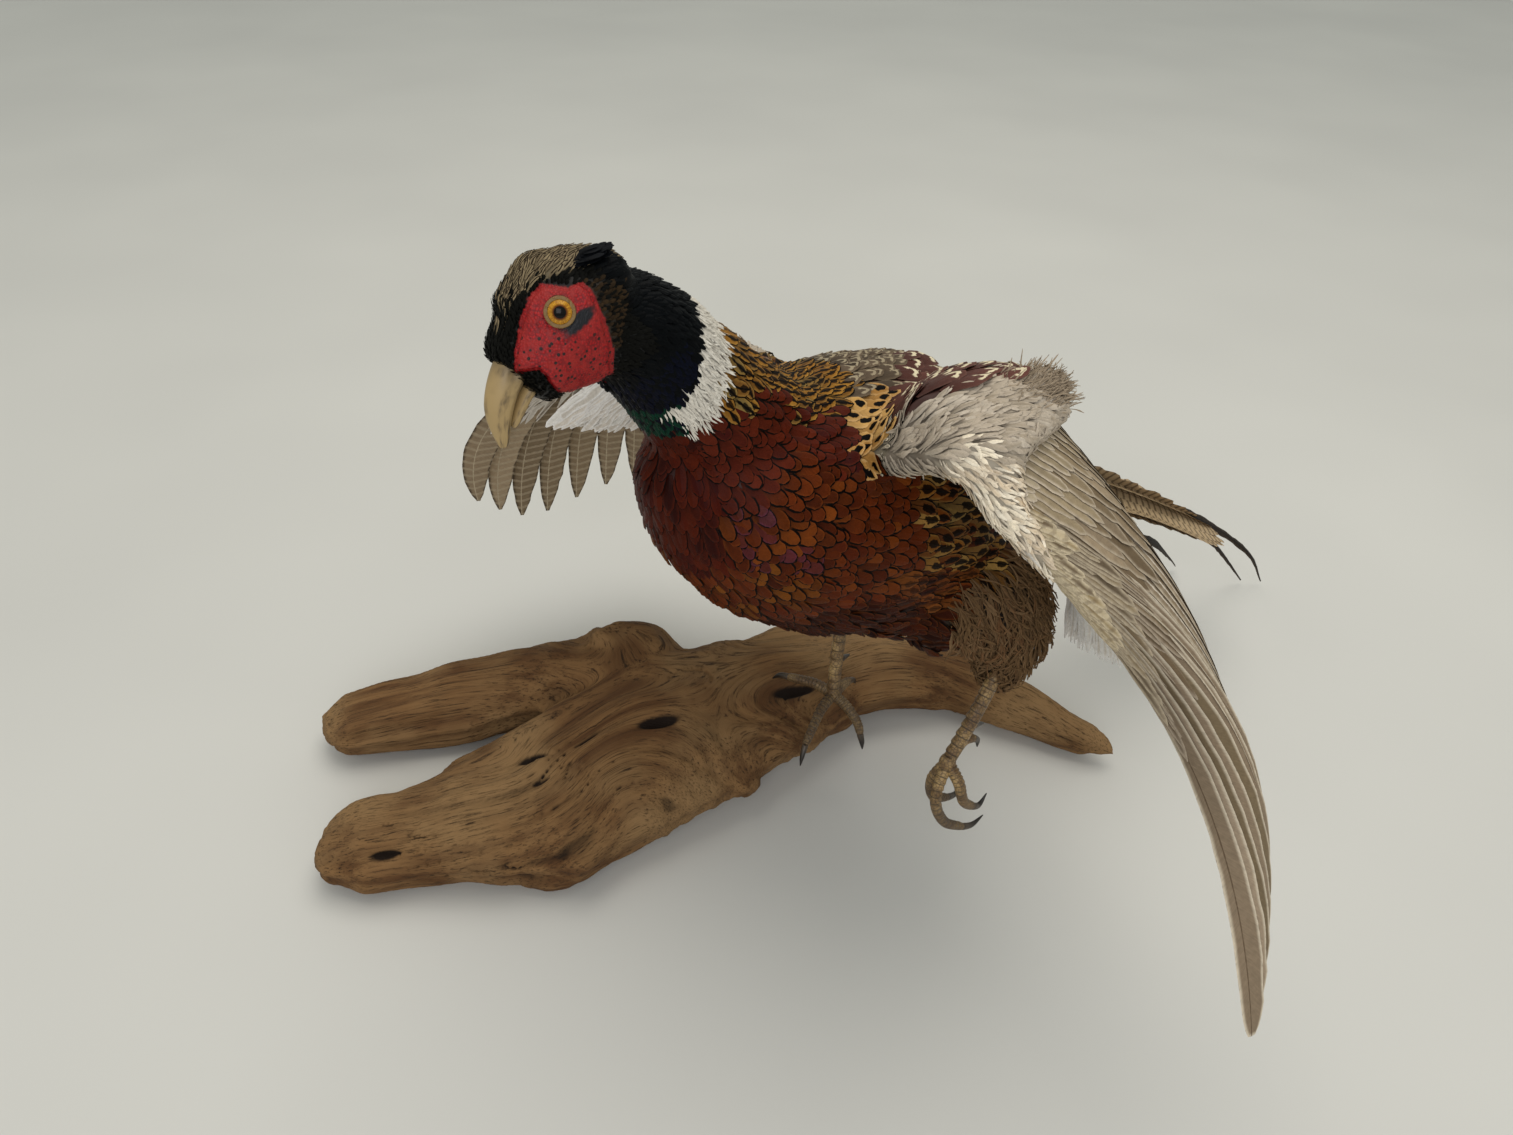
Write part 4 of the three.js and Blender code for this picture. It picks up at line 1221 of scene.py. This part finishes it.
for side, row in WINGS.items():
    count, inks, mark, fringe, shaft, bars, laid = HANDS[side]
    primaries = Coat(26, 7)
    dress = plain_dress(count, inks, mark, fringe, shaft, bars, 0.6)
    flight_row(
        primaries, row, WRIST + 0.02, 0.985, dress, outer=0.45, ragged=0.05, least=0.8, **laid
    )
    primaries.build(f"primaries_{side}", remex, "flight_feathers", [f"wing_{side}_primaries"])
    secondaries = Coat(22, 7)
    inks, fringe = ARM_INKS[side]
    dress = plain_dress(11, inks, "cfc4b4", fringe, 0.4, 0.12)
    flight_row(secondaries, row, 0.02, WRIST - 0.01, dress, tilt=1.2, ragged=0.05)
    secondaries.build(f"secondaries_{side}", remex, "flight_feathers", [f"wing_{side}_secondaries"])
    upper = Coat(9, 5)
    for count, reach, layer, inks, fringe, bars, part in UPPER_COVERTS:
        dress = plain_dress(count, inks, "6a5b4c", fringe, bars=bars, downy=0.9)
        flight_row(
            upper, row, *part, dress, layer, reach, inner=0.85, outer=0.7, jitter=0.04, ragged=0.2
        )
    upper.build(f"coverts_{side}", remex, "wing_coverts")
    under = Coat(9, 3)
    downy_rows(
        under, row, (0.02, 0.99), ((40, 0.42, -1.2), (46, 0.28, -2.0), (50, 0.16, -2.8)),
        "cfc7bb dcd5ca b9aea0 e6e0d8", "8f8374", "ece7de",
        inner=1.1, outer=1.0, jitter=0.06, ragged=0.4,
    )
    if side == "right":
        downy_rows(
            under, row, (0.76, 0.998), FAR_BAND, "b9b0a3 cfc7bb ddd6cc a2988a", "8f8374", "dfd8ce",
            inner=1.2, outer=1.1, jitter=0.1, ragged=0.4,
        )
    under.build(f"underwing_coverts_{side}", remex, "wing_coverts")
    down = Coat(10, 3)
    downy_rows(
        down, AXILLARIES[side], (0.02, 0.98), [(44, 0.93, layer) for layer in (-2.0, -0.7, 0.7, 2.0)],
        "e8e1d7 f3efe8 dcd4c9 e2d9cd", "c8bdb0", "f7f4f0",
        inner=1.5, outer=1.5, tilt=2.5, jitter=0.1, ragged=0.5,
    )
    down.build(f"axillaries_{side}", remex, "axillary_down", [f"wing_{side}_axillaries"])

TAIL_ROOT = np.array([98.0, 0.0, 199.0])
TAIL_LENGTH = 350
TAIL_AXIS = unit(np.array([285.0, -38.0, -197.0]))
TAIL_CREST = 24


def tail_row():
    """An arched fan of feathers, the middle ones longest."""
    up = np.array([0.0, 0.0, 1.0])
    across = unit(np.cross(TAIL_AXIS, up))
    pivot = Vector(np.cross(across, TAIL_AXIS))
    roots, crests, tips = [], [], []
    for i in range(7):
        a = i / 3 - 1
        length = TAIL_LENGTH * min(0.78, 1 - 0.45 * abs(a) ** 1.2)
        way = np.array(Matrix.Rotation(a * 0.08, 3, pivot) @ Vector(TAIL_AXIS))
        root = TAIL_ROOT - across * a * 10 - up * 15 * abs(a)
        roots.append(root)
        crests.append(root + way * length * 0.5 + up * TAIL_CREST)
        tips.append(root + way * length + up * (27 + 2 * abs(a)))
    return Row(roots, crests, tips, 1)


def both_halves(widths, count):
    return np.tile(widths[:, None], (count, 1, 2))


tail = Coat(40, 7)
dress = plain_dress(11, "a8906e b49c7a 92795a", "3c2c1c", "b8a082", 0.15, 0.65, 0.6)
flight_row(
    tail, tail_row(), 0.04, 0.96, dress, shape=LANCE, inner=1, outer=1, tilt=0.5, ragged=0.2,
    width=11, period=7.5,
)
# The long middle feathers, worn to dark, drooping points.
QUILLS = [
    [(180, -12, 156), (245, -20, 117), (300, -27, 86), (338, -35, 60), (368, -44, 34), (392, -47, 4)],
    [(180, -8, 153), (240, -16, 118), (276, -28, 91), (323, -32, 60), (349, -35, 36), (382, -37, 4)],
    [(165, 0, 140), (215, -18, 108), (285, -12, 65), (318, -8, 38), (345, -2, 16), (360, 3, 4)],
]
t = np.linspace(0, 1, 40)
spine = np.stack([spline(path, t) for path in QUILLS])
along = unit(np.gradient(spine, axis=1))
sideways = unit(np.cross(along, (-0.5, -0.5, 1)))
half = np.interp(t, [0, 0.35, 0.55, 0.72, 0.9, 1], [5, 4.5, 3.0, 2.4, 1.8, 0.6])
worn = plain_dress(3, "2c231a", "15100c", "3c3024", 0.5, 0.4)
home = np.stack([np.array([0.2, 0.5, 0.8]), np.full(3, 0.985)], -1)
tail.add(
    spine, sideways, np.cross(sideways, along), both_halves(half, 3), 0.6, worn, home, 0.18,
    period=7.0,
)
tail.build("tail_feathers", remex, "tail_feathers", ["tail"])

# ---------- the tuft at the elbow ----------

elbow = Coat(len(ALONG), 3)
count = 1200
out = unit(rng.normal(0, 1, (count, 3)) * 0.3 + (0.9, -0.3, 0.45))
roots = np.array([3.0, -82.0, 293.0]) + rng.normal(0, 1, (count, 3)) * (6, 5, 2)
roots, skin_up = on_skin(roots)
lengths = rng.uniform(3, 7.5, (count, 1, 1))
v = ALONG[None, :, None]
bend = unit(rng.normal(0, 1, (count, 3)) + (0.6, -0.3, -0.4))[:, None]
spine = roots[:, None] + lengths * (out[:, None] * v + bend * 0.45 * v**2)
way = unit(np.gradient(spine, axis=1))
sideways = unit(np.cross(way, skin_up[:, None] + 0.01))
half = both_halves(0.28 * TIP_SHAPE, count)
inks = "75624c 88745c 635138 9c8c74 aca08c"
fluff = plain_dress(count, inks, "4a3b2c", "9c8c78", downy=1.0)
elbow.add(spine, sideways, np.cross(sideways, way), half, 0.2, fluff, unwrap(roots), 0.3)
elbow.build("elbow_tuft", plume, "wing_coverts")

# ---------- bill, eyes, feet ----------


def loft(name, stations, sides, steps, up_way, relief, blunt, plates=1.0, place_at=None):
    """A closed body of oval sections along a curve. Each station is a centre, a half width, a
    rise and, where it differs, a drop. relief(along, angle) multiplies the section, blunt says
    how square the ends are, and place_at moves the result into the bird's frame."""
    bm = bmesh.new()
    bmesh.ops.create_grid(bm, x_segments=sides, y_segments=steps, size=1)
    xy = np.array([v.co for v in bm.verts])
    angle = (xy[:, 0] + 1) * math.pi
    t = (1 - np.cos(math.pi * (xy[:, 1] + 1) / 2)) / 2
    centres = [s[0] for s in stations]
    centre = spline(centres, t)
    h = 0.01
    tangent = spline(centres, np.minimum(t + h, 1)) - spline(centres, np.maximum(t - h, 0))
    tangent = unit(tangent)
    up_vector = np.broadcast_to(np.asarray(up_way, float), tangent.shape)
    normal = unit(up_vector - tangent * dot(up_vector, tangent)[:, None])
    lateral = np.cross(tangent, normal)
    half_width, rise, drop = spline([(s[1], s[2], s[-1]) for s in stations], t).T
    scale = np.maximum(1 - np.abs(2 * t - 1) ** blunt, 0) ** (1 / blunt)
    if relief:
        scale = scale * relief(t, angle)
    height = np.where(np.sin(angle) > 0, rise, drop)
    places = centre + lateral * (np.cos(angle) * half_width * scale)[:, None]
    places = places + normal * (np.sin(angle) * height * scale)[:, None]
    if place_at:
        places = place_at(places)
    layer = bm.verts.layers.float_vector.new("along")
    for v, co, s, g in zip(bm.verts, metres(places).tolist(), t.tolist(), angle.tolist()):
        v.co = co
        v[layer] = (s * plates, math.cos(g), math.sin(g))
    bmesh.ops.remove_doubles(bm, verts=bm.verts, dist=2e-6)
    face_outwards(bm)
    return finished(bm, name)


def joined_mesh(name, meshes):
    bm = bmesh.new()
    for mesh in meshes:
        bm.from_mesh(mesh)
        bpy.data.meshes.remove(mesh)
    return finished(bm, name)


UP = Vector((0, 0, 1))
# The iris's share of the eye, and the pupil's share of the iris.
IRIS_ANGLE, PUPIL = 0.86, 0.44


def horn_material(name, base, tip, dark, roughness):
    """Horn: one colour running into another along the piece, with fine streaks."""
    material, tree, shader = new_material(name, roughness)
    along, round_x, round_y = split(attribute(tree, "along"))
    mottle = noise_at(object_place(tree), 240.0, 5.0)
    streak = noise_at(join(times(along, 3.0), round_x, round_y), 1.6, 3.0)
    colour = mix(step(times_plus(mottle, 0.35, along), 0.2, 0.75), base, tip)
    feed(shader["Base Color"], mix(step(streak, 0.48, 0.78), colour, dark))
    feed(shader["Roughness"], times_plus(mottle, 0.3, roughness - 0.1))
    add_bump(shader, plus(streak, mottle), 0.25, 0.0003)
    return material


bill_horn = horn_material("bill horn", "5c4c36", "a68c5e", "44372a", 0.42)
claw_horn = horn_material("claw horn", "4a3d30", "231c16", "15100c", 0.38)

UPPER_BILL = [
    ((-13, 0, 5), 6.5, 6.3, 4.5), ((-22, 0, 4.6), 6, 5.6, 4.2),
    ((-32, 0, -0.5), 4.4, 4.8, 3.8), ((-40.4, 0, -11), 1.3, 1.8, 1.6),
]
LOWER_BILL = [
    ((-11, 0, -3.5), 5.4, 2.6, 3), ((-22, 0, -3.6), 4.6, 2.4, 2.6),
    ((-34, 0, -8.6), 2.2, 1.5, 1.7),
]


def culmen(t, angle):
    """A ridge on top, cut edges, and a nostril under its soft cover on each side."""
    ridge = 1 + 0.1 * np.exp(-(((angle - math.pi / 2) / 0.35) ** 2))
    cut = 1 + 0.07 * (np.sin(angle) < -0.1)
    nostril = np.exp(-(((t - 0.33) / 0.07) ** 2))
    flanks = np.exp(-(((np.sin(angle) - 0.35) / 0.25) ** 2))
    cere = 1 + 0.06 * smoothstep(0.42, 0.3, t) * flanks
    return ridge * cut * (1 - 0.2 * nostril * flanks) * cere


for name, stations, sides, steps, relief in (
    ("bill_upper", UPPER_BILL, 40, 48, culmen),
    ("bill_lower", LOWER_BILL, 32, 36, None),
):
    half_bill = loft(f"{name}_horn", stations, sides, steps, UP, relief, 7, place_at=from_head)
    show(half_bill, bill_horn, "bill_horn", [name])


def eye_material():
    material, tree, shader = new_material(
        "glass eye", 0.25, Coat_Weight=0.25, Coat_Roughness=0.02, Specular_IOR_Level=0.08
    )
    ring, spin_x, spin_y = split(attribute(tree, "iris"))
    rays = noise_at(join(times(ring, 1.2), times(spin_x, 5.0), times(spin_y, 5.0)), 3.0, 4.0)
    amber = mix(step(rays, 0.35, 0.7), "9a6414", "d09a30")
    amber = mix(step(ring, PUPIL, 0.66), "5a2c0a", amber)
    amber = mix(step(ring, 0.86, 0.98), amber, "3a2412")
    feed(shader["Base Color"], mix(step(ring, PUPIL, PUPIL - 0.04), amber, "020202"))
    return material


def eyeball(name, centre, way):
    """A glass eye that bulges a little where it looks."""
    bm = bmesh.new()
    bmesh.ops.create_uvsphere(bm, u_segments=48, v_segments=32, radius=1)
    turn = UP.rotation_difference(Vector(way))
    layer = bm.verts.layers.float_vector.new("iris")
    for v in bm.verts:
        angle = math.acos(max(-1.0, min(1.0, v.co.z)))
        across = max(math.sin(angle), 1e-3)
        v[layer] = (min(angle / IRIS_ANGLE, 1.5), v.co.x / across, v.co.y / across)
        bulge = 1 + 0.035 * math.exp(-((angle / 0.55) ** 2))
        v.co = metres(centre + np.array(turn @ (v.co * bulge * EYE_RADIUS)))
    return finished(bm, name)


glass = eye_material()
for side, sign in (("left", 1), ("right", -1)):
    way = mirrored(EYE_WAY, sign) @ head_turn.T
    ball = eyeball(f"eyeball_{side}", from_head(mirrored(EYE_PLACE, sign)), way)
    show(ball, glass, "glass_eye", [f"eye_{side}"])

TARSUS_RADIUS, TOE_RADIUS = 3.5, 2.9
CLAW_RADII = (2.1, 1.55, 0.35)
LEG_PLATES, TOE_PLATES = 11, 16
LEGS = {
    "left": {
        "shank": [(42, -65, 124), (28, -66, 105), (12, -66, 84)],
        "toes": [
            [(12, -66, 84), (4, -68, 67), (13, -69, 44), (29, -70, 29)],
            [(12, -66, 84), (13, -73, 76), (18, -75, 60), (27, -75, 50)],
            [(12, -66, 84), (10, -60, 68), (17, -58, 50), (29, -58, 41)],
            [(14, -66, 86), (24, -65, 90), (32, -65, 87)],
        ],
        "claws": [
            [(37, -71, 26), (44, -72, 29)], [(33, -75, 47), (38, -75, 52)],
            [(36, -58, 39), (42, -58, 43)], [(36, -65, 83), (37, -65, 78)],
        ],
        "spur": [(28, -66, 99), (37, -66, 95)],
    },
    "right": {
        "shank": [(36, 31, 112), (33, 30, 80), (31, 29, 52)],
        "toes": [
            [(31, 29, 51), (18, 25, 50), (6, 20, 45), (0, 18, 40)],
            [(31, 29, 51), (33, 20, 47), (34, 12, 40), (34, 9, 34)],
            [(31, 29, 51), (28, 40, 53), (24, 50, 52), (22, 56, 51)],
            [(31, 29, 51), (41, 31, 51), (48, 33, 49)],
        ],
        "claws": [
            [(-4, 16, 35), (-6, 15, 30)], [(34, 7, 29), (34, 6, 24)],
            [(20, 61, 50), (18, 65, 46)], [(53, 34, 46), (56, 35, 41)],
        ],
        "spur": [(36, 30, 74), (44, 31, 72)],
    },
}


def scutes(count, front):
    """Overlapping plates down the front of a leg or the top of a toe."""

    def relief(t, angle):
        saw = (t * count) % 1.0
        plate = smoothstep(0, 0.8, saw) * (1 - smoothstep(0.93, 1.0, saw))
        facing = smoothstep(-0.3, 0.5, np.cos(angle - front))
        pebbles = 0.03 * np.sin(t * count * 9.0) * np.sin(angle * 8) * (1 - facing)
        return 1 + 0.17 * plate * facing + pebbles - 0.08

    return relief


def scale_material():
    material, tree, shader = new_material("leg scales", 0.5)
    along, _, _ = split(attribute(tree, "along"))
    place = object_place(tree)
    cells = cells_at(place, 560.0, 0.8, feature="DISTANCE_TO_EDGE")
    colour = mix(step(noise_at(place, 130.0, 5.0), 0.35, 0.65), "705432", "a88a5a")
    toes = step(split(place)[2], 0.075, 0.045)
    plate = maths("FRACT")(along)
    groove = larger(step(plate, 0.8, 0.95), step(plate, 0.08, 0.0))
    gap = step(cells, 0.12, 0.0)
    darker = ((toes, 0.65, "4c3822"), (groove, 0.75, "1e140c"), (gap, 0.7, "2c2018"))
    for where, amount, code in darker:
        colour = mix(times(where, amount), colour, code)
    feed(shader["Base Color"], colour)
    add_bump(shader, step(cells, 0.0, 0.2), 0.6, 0.0003)
    return material


def foot_parts(leg):
    """Shank, toes and the ball between them."""
    shank = [(p, TARSUS_RADIUS, TARSUS_RADIUS * 1.1) for p in leg["shank"]]
    front = scutes(LEG_PLATES, -math.pi / 2)
    yield loft("shank", shank, 28, 90, (1, 0, 0), front, 14, LEG_PLATES)
    for toe in leg["toes"]:
        thinner = [0.35 * i / (len(toe) - 1) for i in range(len(toe))]
        stations = [
            (p, TOE_RADIUS * (1.1 - less), TOE_RADIUS * (1.15 - less))
            for p, less in zip(toe, thinner)
        ]
        yield loft("toe", stations, 24, 90, (0.3, 0, 1), scutes(TOE_PLATES, math.pi / 2), 9, TOE_PLATES)
    x, y, z = leg["toes"][0][0]
    ball = [((x, y, z + 5), 3.2, 3.2), ((x, y, z), 4.2, 4.2), ((x, y, z - 4), 3.4, 3.4)]
    yield loft("ball", ball, 24, 20, (1, 0, 0), None, 3)


leg_scales = scale_material()
for side, leg in LEGS.items():
    foot = joined_mesh(f"scaled_foot_{side}", foot_parts(leg))
    show(foot, leg_scales, "leg_scales", [f"foot_{side}"])
    for i, (toe, claw) in enumerate(zip(leg["toes"], leg["claws"]), 1):
        stations = [(p, r * 0.85, r) for p, r in zip([toe[-1], *claw], CLAW_RADII)]
        talon = loft(f"talon_{side}_{i}", stations, 16, 24, (0.2, 0, 1), None, 9)
        show(talon, claw_horn, "claw_horn", [f"claw_{side}_{i}"])
    stations = [(p, r, r) for p, r in zip(leg["spur"], (2.2, 0.5))]
    spur = loft(f"spur_horn_{side}", stations, 16, 16, UP, None, 6)
    show(spur, claw_horn, "claw_horn", [f"spur_{side}"])

# ---------- ear tufts ----------

# From root to tip in the head's frame, left and right.
TUFT_PATHS = (
    [(13, -10, 17), (19, -11, 15), (24, -12, 12.5)],
    [(13, 12, 11.5), (19, 13, 8), (24, 13, 5)],
)
tufts = Coat(len(ALONG), 3)
count = 90
v = ALONG[None, :, None]
for path in TUFT_PATHS:
    t = rng.random(count) * 0.55
    away = rng.normal(0, 0.9, (count, 3))
    roots = spline(path, t) + away
    ends = spline(path, np.minimum(t + rng.uniform(0.35, 0.6, count), 1))
    ends = ends + away * 0.8 + rng.normal(0, 0.8, (count, 3))
    spine = from_head(roots)[:, None] * (1 - v) + from_head(ends)[:, None] * v
    way = unit(spine[:, -1] - spine[:, 0])[:, None] + np.zeros_like(spine)
    up = unit(np.cross(np.cross(way, from_head((-8, 0, 0)) - spine), way))
    half = both_halves(0.9 * TIP_SHAPE, count)
    dress = plain_dress(count, "050608 0a0b0f", "000000", "101216", downy=0.4)
    home = np.stack([rng.random(count), rng.random(count)], -1) * 0.98
    tufts.add(spine, np.cross(way, up), up, half, 0.3, dress, home, 0.15)
tufts.build("ear_tufts", hood_plume, "ear_tuft", ["ear_tuft_left", "ear_tuft_right"])

# ---------- driftwood ----------

# The middles of the branches.
WOOD_LINES = [
    [(-238, 150, 12), (-205, 127, 16), (-168, 106, 18), (-130, 91, 20), (-98, 97, 20),
     (-30, 88, 22), (35, 74, 24), (90, 60, 22)],
    [(-196, 226, 12), (-150, 206, 16), (-100, 184, 17), (-50, 160, 19), (10, 118, 22)],
    [(40, 76, 22), (95, 52, 21), (127, 16, 18), (140, -25, 16), (154, -92, 10)],
    [(-40, 66, 22), (-34, 40, 20), (-28, 20, 14)],
    [(-20, 140, 24), (-28, 158, 34), (-36, 170, 42)],
]
# Worm holes and the sockets of lost branches: place and radius.
WOOD_HOLES = [
    ((-53.8, 79.2, 47.2), 3.2), ((-118.5, 102.6, 44.2), 2.6), ((-207.6, 104, 30), 3.0),
    ((26.6, 50.9, 45.6), 4.5), ((-180, 214, 24), 2.4),
]
WOOD_WAY = unit(np.array([0.9, -0.42, 0.0]))


def wood_measures(places):
    """Along the wood, across the grain and above the branch's middle, blended between branches."""
    total = np.zeros(len(places))
    grain = np.zeros((len(places), 3))
    for line in WOOD_LINES:
        centre = spline(line, np.linspace(0, 1, 80))
        ways = unit(np.gradient(centre, axis=0))
        away = norm(places[:, None] - centre[None])
        near = away.argmin(1)
        offset = places - centre[near]
        side = unit(np.cross(ways, (0, 0, 1)))[near]
        weight = np.exp(-away.min(1) / 14) + 1e-12
        own = np.stack([places @ WOOD_WAY, dot(offset, side), offset[:, 2]], -1)
        grain += own * weight[:, None]
        total += weight
    return grain / total[:, None]


def make_driftwood():
    bm = remeshed(merged_copy(["driftwood"]), "weathered_driftwood", WOOD_VOXEL)
    relax(bm, bm.verts, 2)
    bmesh.ops.subdivide_edges(bm, edges=bm.edges, cuts=1, use_grid_fill=True, smooth=0.7)
    places, normals = places_of(bm), normals_of(bm)
    grain = wood_measures(places)
    grain[:, 0] /= 45
    ridges = wander(grain, 6, 3.0) * 2.0 + wander(grain, 13, 8.0) * 2.8
    ridges += wander(grain, 2.2, 5.0) * 0.7
    crack = wander(grain * (0.5, 1, 1), 9, 21.0)
    cracks = -1.6 * np.exp(-((crack / 0.02) ** 2)) * smoothstep(0.0, 0.3, wander(places, 60, 4.0))
    holes = np.zeros(len(places))
    for hole, radius in WOOD_HOLES:
        away = places - hole
        lengthwise = away @ WOOD_WAY
        reach = np.sqrt(np.maximum(dot(away, away) - lengthwise**2 * 0.9, 0)) / radius
        holes -= radius * 1.5 * np.exp(-(reach**2.5))
    lumps = wander(places, 30, 6.0) * 3.0
    upward = smoothstep(1.0, 6.0, places[:, 2])
    amount = (ridges + cracks + holes + lumps - 1.0) * upward
    moved = places + normals * amount[:, None]
    moved[:, 2] = np.maximum(moved[:, 2], 0.0)
    moved[:, 2] = np.where(places[:, 2] < 0.8, 0.0, moved[:, 2])
    move_to(bm, moved)
    face_outwards(bm)
    mesh = finished(bm, "weathered_driftwood")
    set_values(mesh, "grain", "Vector", grain)
    # Painted shade: darker the deeper the grooves, cracks and holes sink in.
    set_values(mesh, "hollow_shade", "Float", np.clip(-(ridges * 0.7 + cracks + holes) / 3, 0, 1))
    return mesh


def driftwood_material():
    material, tree, shader = new_material("driftwood", 0.85, Specular_IOR_Level=0.2)
    grain = attribute(tree, "grain")
    fine = noise_at(grain, 1.1, 6.0, Roughness=0.7)
    broad = noise_at(grain, 0.16, 4.0)
    patch = noise_at(object_place(tree), 14.0, 4.0)
    colour = mix(step(broad, 0.35, 0.65), "5a3d24", "805f3c")
    colour = mix(step(patch, 0.42, 0.66), colour, "8c6e4a")
    colour = mix(step(fine, 0.52, 0.3), colour, "2c1f13")
    # Painted shade in the sunken grooves, cracks and holes.
    colour = mix(step(attribute(tree, "hollow_shade", "Fac"), 0.25, 0.8), colour, "1c120b")
    feed(shader["Base Color"], colour)
    add_bump(shader, plus(fine, broad), 0.6, 0.001)
    return material


show(make_driftwood(), driftwood_material(), "driftwood", ["driftwood"])

# ---------- floor, light, camera ----------

table, tree, shader = new_material("table top")
wash = noise_at(object_place(tree), 3.0, 2.0)
feed(shader["Base Color"], mix(wash, "c9c8c4", "d8d7d2"))
bm = bmesh.new()
bmesh.ops.create_grid(bm, x_segments=1, y_segments=1, size=20)
floor = placed("floor", finished(bm, "floor"))
floor.data.materials.append(table)

world = bpy.data.worlds.new("room")
bpy.context.scene.world = world
world.use_nodes = True
background = world.node_tree.nodes["Background"].inputs
feed(background["Color"], "cfd2cc")
feed(background["Strength"], 0.8)


def add_light(name, place, target, size, energy, colour):
    data = bpy.data.lights.new(name, "AREA")
    data.size = size
    data.energy = energy
    data.color = ink(colour)
    lamp = placed(name, data)
    lamp.location = place
    lamp.rotation_euler = (Vector(target) - Vector(place)).to_track_quat("-Z", "Y").to_euler()


add_light("ceiling", (0.25, 0.2, 1.9), (0, 0, 0.15), 1.7, 16, "fff8ee")
add_light("window", (-1.3, -1.3, 1.2), (0, 0, 0.2), 1.2, 14, "f4f4fa")

FOCAL_PIXELS, FRAME_PIXELS = 1137, 1513
CAMERA_PLACE = np.array([-324.73, -290.99, 480.0])
CAMERA_RIGHT = np.array([0.7486, -0.6625, 0.0266])
CAMERA_DOWN = np.array([-0.3713, -0.4521, -0.811])
CAMERA_AHEAD = np.array([0.5494, 0.5972, -0.5844])
camera_data = bpy.data.cameras.new("camera")
camera_data.sensor_width = 36
camera_data.lens = FOCAL_PIXELS / FRAME_PIXELS * camera_data.sensor_width
camera_data.clip_start = 0.01
camera = placed("camera", camera_data)
turn = np.stack([CAMERA_RIGHT, -CAMERA_DOWN, -CAMERA_AHEAD], 1)
camera.matrix_world = Matrix.Translation(metres(CAMERA_PLACE)) @ Matrix(turn.tolist()).to_4x4()
bpy.context.scene.camera = camera
bpy.context.scene.view_settings.view_transform = "Standard"
